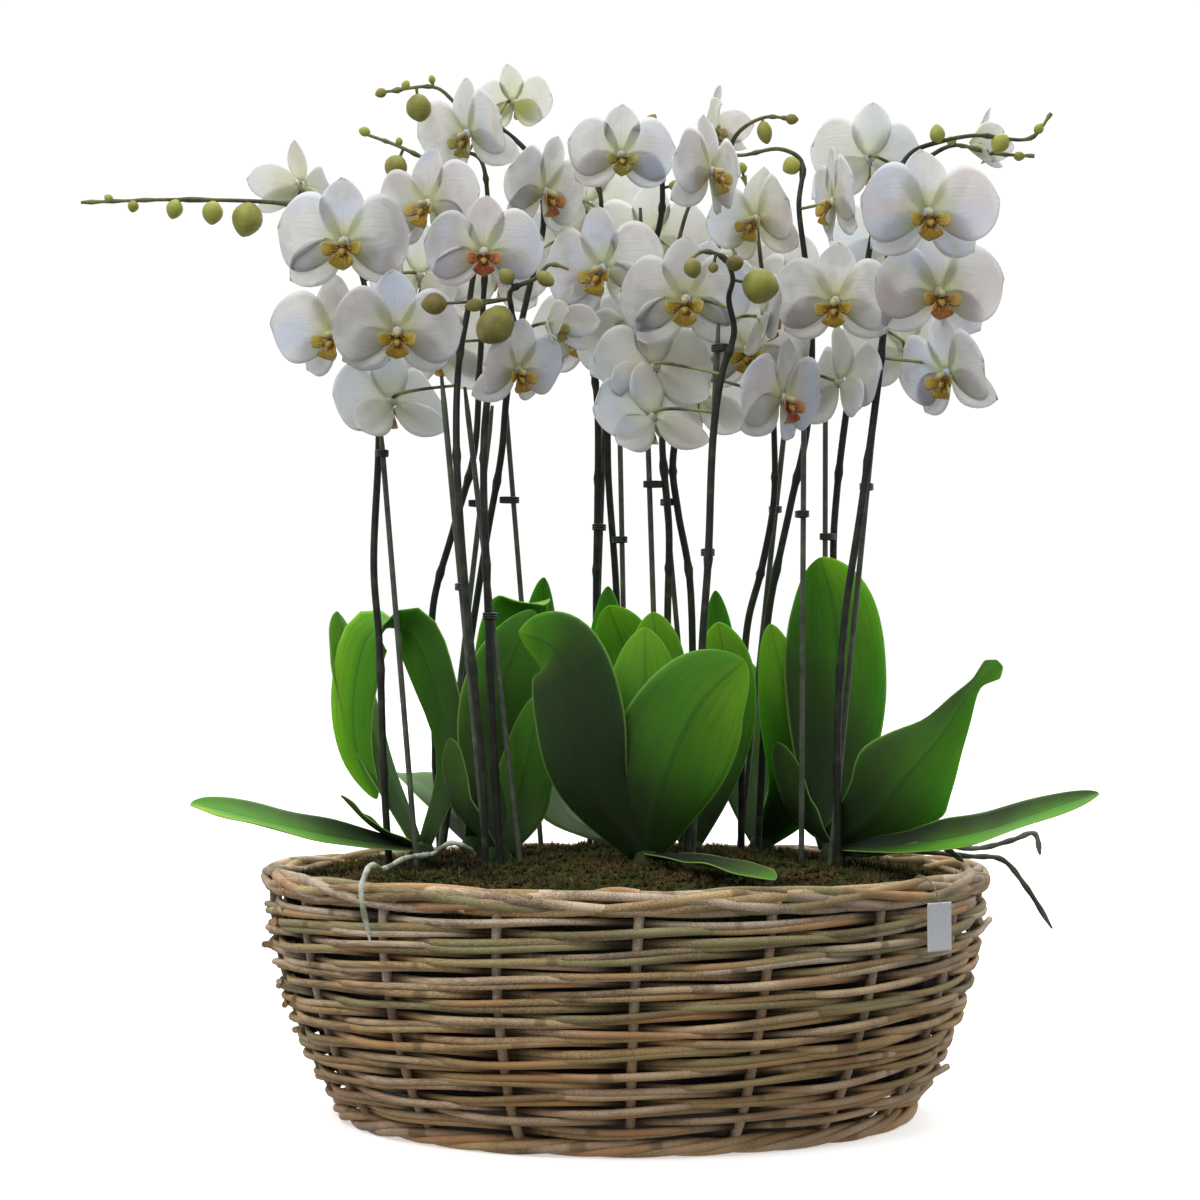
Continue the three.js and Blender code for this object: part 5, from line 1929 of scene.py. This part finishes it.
SPRAYS = (
    Spray(((-.168, .002, .1504), (-.173, -.002, .225), (-.177, -.006, .336), (-.181, -.006, .388),
           (-.178, -.002, .49), (-.182, -.006, .552), (-.19, -.012, .6), (-.208, -.01, .642),
           (-.238, -.006, .651), (-.321, 0, .656), (-.395, 0, .654)),
          ((-.146, -.027, .15), (-.176, -.014, .492)), (.47,),
          (Bloom(-.198, -.062, .614, -4, 8, 1), Bloom(-.159, -.082, .548, 6, 14, .92),
           Bloom(-.206, -.04, .552, -28, 8, .95), Bloom(-.237, .01, .668, -150, -8, .8, .6, Lip.GREEN, .2,
           .5), Bloom(-.15, .03, .604, 160, 5, .9)),
          ((-.274, -.002, .641, .026, .022), (-.299, -.002, .646, .018, .015), (-.327, 0, .649, .015, .012),
           (-.357, 0, .651, .009, .008), (-.375, 0, .657, .007, .006)), .85),
    Spray(((-.097, -.072, .1504), (-.099, -.076, .238), (-.104, -.078, .293), (-.114, -.076, .401),
           (-.118, -.072, .47), (-.117, -.062, .528), (-.109, -.056, .58), (-.104, -.05, .635),
           (-.118, -.048, .66), (-.156, -.042, .684), (-.187, -.036, .697)),
          ((-.094, -.062, .15), (-.129, -.064, .52)), (.372,),
          (Bloom(-.166, -.034, .504, -150, 20, .92), Bloom(-.098, -.105, .6, 5, 10, .84, 1, Lip.RED),
           Bloom(-.138, -.078, .638, -35, 4, .88)),
          ((-.163, -.044, .671, .018, .016), (-.161, -.04, .69, .007, .005),
           (-.186, -.036, .698, .009, .007))),
    Spray(((-.086, -.058, .1504), (-.093, -.054, .265), (-.098, -.052, .391), (-.1, -.05, .448),
           (-.099, -.048, .49), (-.093, -.054, .527), (-.078, -.072, .548), (-.079, -.098, .562),
           (-.079, -.108, .573), (-.062, -.118, .58), (-.052, -.12, .589), (-.039, -.12, .586)),
          ((-.07, -.058, .15), (-.114, -.038, .515)), (.352,),
          (Bloom(-.075, -.085, .521, 38, 18, .78),
           Bloom(-.052, -.066, .556, 60, 0, .72, .45, Lip.GREEN, .2, .5)),
          ((-.082, -.114, .582, .013, .011), (-.055, -.122, .579, .016, .01), (-.09, -.11, .549, .034, .024),
           (-.104, -.108, .563, .014, .009), (-.132, -.1, .565, .018, .015)), .3),
    Spray(((-.137, .084, .1504), (-.143, .078, .292), (-.143, .071, .363), (-.128, .065, .419),
           (-.112, .06, .477), (-.108, .056, .535), (-.104, .048, .605), (-.101, .038, .66),
           (-.107, .028, .692), (-.12, .022, .694), (-.129, .016, .668)),
          ((-.141, .072, .15), (-.099, .074, .514)), (.44,),
          (Bloom(-.113, -.018, .7, -46, 18, .86, 1, Lip.GREEN, .2, .2), Bloom(-.139, .092, .557, 170, 8, .95),
           Bloom(-.096, .108, .617, 150, 6, .95)),
          ((-.129, .016, .664, .009, .007), (-.121, .02, .701, .008, .006))),
    Spray(((-.141, .098, .1504), (-.119, .112, .323), (-.105, .106, .413), (-.093, .098, .48),
           (-.088, .092, .53), (-.072, .074, .6), (-.06, .05, .65), (-.068, .022, .69), (-.091, .012, .711),
           (-.121, 0, .725), (-.137, -.004, .737), (-.174, -.004, .734)),
          ((-.06, .096, .15), (-.092, .108, .54)), (.445,),
          (Bloom(-.082, .038, .735, 150, -4, .62, 1, Lip.GREEN, .1, .9),
           Bloom(-.058, -.012, .659, 58, 16, .9, 1, Lip.ORANGE), Bloom(-.044, .108, .64, 165, 8, .95)),
          ((-.149, -.009, .721, .022, .018), (-.14, -.004, .743, .007, .005),
           (-.159, -.004, .739, .008, .006), (-.177, -.004, .733, .009, .007))),
    Spray(((-.02, .121, .1504), (-.021, .117, .378), (-.02, .114, .442), (-.02, .108, .516),
           (-.026, .094, .58), (-.02, .074, .63), (-.018, .058, .672), (-.027, .054, .688),
           (-.042, .05, .69)),
          ((-.027, .13, .15), (-.013, .118, .554)), (.425,),
          (Bloom(-.003, -.016, .685, 8, 4, .8, 1, Lip.GREEN), Bloom(-.016, -.012, .603, -36, 8, 1),
           Bloom(-.028, .132, .676, 170, 8, .95)),
          ((-.044, .05, .69, .01, .008),)),
    Spray(((-.003, .126, .1504), (-.005, .122, .366), (-.012, .112, .477), (-.01, .098, .54),
           (.004, .07, .596), (.024, .038, .636), (.028, .024, .662), (.024, .016, .694), (.014, .014, .711),
           (0, .014, .718), (-.007, .014, .712)),
          ((.004, .118, .15), (-.004, .104, .559)), (.415,),
          (Bloom(-.029, .064, .566, -30, 10, .92), Bloom(.008, .024, .552, 180, 12, .9),
           Bloom(.018, .144, .606, 160, 8, .95)),
          ((-.006, .014, .703, .015, .012), (-.002, .014, .722, .01, .007), (.019, .014, .717, .012, .008),
           (.046, .008, .69, .019, .017), (.038, .022, .671, .012, .008))),
    Spray(((.036, -.074, .1504), (.05, -.076, .265), (.053, -.078, .335), (.057, -.078, .39),
           (.061, -.076, .48), (.067, -.078, .52), (.075, -.082, .548), (.071, -.09, .57),
           (.073, -.104, .583), (.066, -.114, .595), (.052, -.12, .598), (.044, -.122, .593)),
          ((.045, -.06, .15), (.065, -.066, .557)), (.396, .539),
          (Bloom(.042, -.058, .574, -5, 12, .95), Bloom(.021, -.036, .529, -165, 6, .92, 1, Lip.YELLOW, .9),
           Bloom(.019, -.052, .491, -150, 24, .92), Bloom(.11, -.062, .504, 52, 10, .9, 1, Lip.RED),
           Bloom(.097, -.062, .56, 100, 6, .8)),
          ((.092, -.106, .577, .026, .024), (.074, -.116, .591, .014, .011), (.059, -.12, .587, .008, .007),
           (.045, -.124, .586, .015, .012)), .4),
    Spray(((.034, .046, .1504), (.032, .044, .352), (.033, .042, .418), (.028, .04, .484), (.031, .04, .545),
           (.036, .03, .607), (.044, .014, .645), (.054, .004, .668)),
          ((.028, .034, .15), (.012, .044, .658)), (.452,),
          (Bloom(.06, -.062, .664, 60, 4, .88), Bloom(.019, .074, .64, 172, 6, .95),
           Bloom(.06, .012, .586, 20, 10, .9)),
          ((.056, .002, .676, .009, .007),)),
    Spray(((.049, .062, .1504), (.049, .054, .379), (.04, .05, .432), (.036, .048, .468), (.044, .048, .515),
           (.056, .048, .567), (.07, .048, .63), (.076, .042, .685), (.083, .037, .711), (.103, .032, .723),
           (.125, .032, .722)),
          ((.057, .07, .15), (.028, .058, .475)), (.44,),
          (Bloom(.064, .054, .719, 60, -10, .75, .5, Lip.GREEN, .1, .7), Bloom(.088, .104, .634, 150, 8, .95),
           Bloom(.058, .096, .522, 165, 12, .95)),
          ((.104, .032, .712, .018, .011), (.124, .032, .722, .01, .008))),
    Spray(((.098, .066, .1504), (.104, .048, .293), (.106, .042, .352), (.122, .028, .436), (.133, .016, .49),
           (.136, .004, .555), (.131, -.004, .608), (.126, -.006, .65), (.128, -.002, .684), (.113, 0, .693),
           (.084, .003, .689), (.064, .004, .692)),
          ((.126, -.01, .15), (.13, -.004, .574)), (.427,),
          (Bloom(.148, -.05, .574, -14, 14, .92), Bloom(.148, -.042, .646, -80, 6, .85),
           Bloom(.156, -.014, .52, 120, 8, .9)),
          ((.121, -.002, .68, .014, .013), (.064, .004, .687, .013, .01))),
    Spray(((.088, .082, .1504), (.088, .066, .263), (.092, .06, .349), (.102, .056, .389), (.111, .05, .44),
           (.111, .044, .49), (.108, .038, .54), (.102, .028, .6), (.095, .018, .65), (.087, .014, .676)),
          ((.084, .096, .15), (.121, .06, .505)), (.435,),
          (Bloom(.094, -.024, .637, -45, 8, .84, 1, Lip.YELLOW, .1, .6), Bloom(.09, -.002, .546, -16, 12, .9),
           Bloom(.134, .056, .597, 150, 8, .95)),
          ((.086, .014, .682, .009, .007),)),
    Spray(((.152, -.022, .1504), (.151, -.028, .272), (.156, -.03, .35), (.168, -.034, .432),
           (.178, -.036, .505), (.184, -.038, .56), (.189, -.028, .612), (.197, -.01, .672),
           (.209, -.004, .69), (.228, 0, .698), (.255, 0, .703), (.295, 0, .701), (.31, 0, .719)),
          ((.144, -.016, .15), (.185, -.026, .566)), (.445,),
          (Bloom(.208, -.098, .628, 4, 8, .98), Bloom(.219, -.066, .578, 10, 12, .95, 1, Lip.ORANGE),
           Bloom(.226, -.058, .522, -50, 18, .9), Bloom(.204, .016, .548, -170, 10, .95),
           Bloom(.178, .002, .685, -170, 2, .9)),
          ((.227, 0, .704, .015, .011), (.273, 0, .697, .016, .013), (.301, 0, .708, .009, .007))),
    Spray(((.164, .026, .1504), (.16, .05, .293), (.156, .06, .401), (.159, .062, .448), (.166, .058, .508),
           (.176, .046, .575), (.186, .032, .645), (.205, .026, .673), (.226, .022, .693), (.243, .02, .7),
           (.27, .02, .694), (.301, .02, .692)),
          ((.148, .05, .15), (.15, .054, .531)), (.414,),
          (Bloom(.202, .084, .64, 160, 8, .95), Bloom(.214, .092, .574, 168, 10, .95),
           Bloom(.259, .036, .702, 70, -6, .7, .4, Lip.GREEN, .1, .6)),
          ((.24, .02, .703, .008, .007), (.29, .02, .692, .009, .007))),
)


# The studio


@dataclass
class Stage:
    """The camera, the soft lights, the white surroundings and the pale floor."""

    distance: float = 1.9
    height: float = 0.3
    aside: float = -0.018
    lens: float = 78.93
    pitch: float = 1.96
    reach: float = 60.0
    white: float = 1.05
    behind: float = 1.1
    before: float = 0.28
    above: float = 0.9
    below: float = 0.3
    aim: Point = (0, 0, 0.42)

    def camera(self) -> None:
        """Places the camera at the photograph's viewing angle."""
        data = bpy.data.cameras.new("camera")
        data.lens = self.lens
        data.sensor_width = 36.0
        view = linked("camera", data)
        view.location = (self.aside, -self.distance, self.height)
        view.rotation_euler = (math.radians(90 + self.pitch), 0, 0)
        bpy.context.scene.camera = view

    def lamp(self, name: str, place: Point, energy: float, size: float) -> None:
        """Adds a soft square lamp that points at the blooms.

        Args:
            name: Its name.
            place: Where it stands.
            energy: Its power.
            size: Its side.
        """
        data = bpy.data.lights.new(name, "AREA")
        data.energy, data.size = energy, size
        lamp = linked(name, data)
        lamp.location = place
        lamp.rotation_euler = (Vector(self.aim) - lamp.location).to_track_quat("-Z", "Y").to_euler()

    def daylight(self) -> bpy.types.World:
        """Makes the soft light: strong from behind and above, weak in front, and white where it is seen.

        Returns:
            The world.
        """
        sky = Sky()
        _, y, z = sky.parts(sky.add("ShaderNodeTexCoord", {}, {}, "Generated"))
        level = self.before + (self.behind - self.before) * y.between(-0.5, 0.9)
        upper = level + self.above * z.between(0.3, 1.0)
        low = self.below * (1.0 + y.between(-0.2, 1.0))
        light = low + (upper - low) * z.between(-0.15, 0.15)
        seen = sky.add("ShaderNodeLightPath", {}, {}, "Is Camera Ray")
        sky.put(sky.shader, {"Color": (1.0, 1.0, 1.0), "Strength": light + (self.white - light) * seen})
        return sky.world

    def floor(self) -> bpy.types.Object:
        """Makes the pale floor, which takes shadows and throws no light back.

        Returns:
            The floor.
        """
        side = np.linspace(-self.reach, self.reach, 9)
        grid = np.array([[(x, y, 0.0) for x in side] for y in side])
        pile = Pile()
        pile.sheet(grid[:, ::-1], np.full(grid.shape[:2], 0.01))
        floor = pile.object("floor", Studio().material())
        floor.visible_diffuse = floor.visible_glossy = floor.visible_shadow = False
        return floor

    def build(self) -> None:
        """Builds the studio."""
        self.camera()
        self.floor()
        self.lamp("key", (-0.9, -1.6, 2.2), 20, 1.2)
        self.lamp("rear", (0.5, 1.5, 2.1), 20, 1.6)
        bpy.context.scene.world = self.daylight()
        bpy.context.scene.view_settings.view_transform = "Standard"


def main() -> None:
    """Builds every part of the basket in order."""
    logging.basicConfig(level=logging.INFO, format="%(name)s: %(message)s")
    Stage().build()
    sweep = Sweep()
    Basket(sweep, Cane().material()).build()
    Filling().build()
    blade, root = Blade().material(), AirRoot().material()
    for number, plant in enumerate(PLANTS, 1):
        plant.build(number, blade, root, sweep)
    kit = SprayKit(sweep)
    for number, spray in enumerate(SPRAYS, 1):
        spray.build(number, kit)


if __name__ == "__main__":
    main()
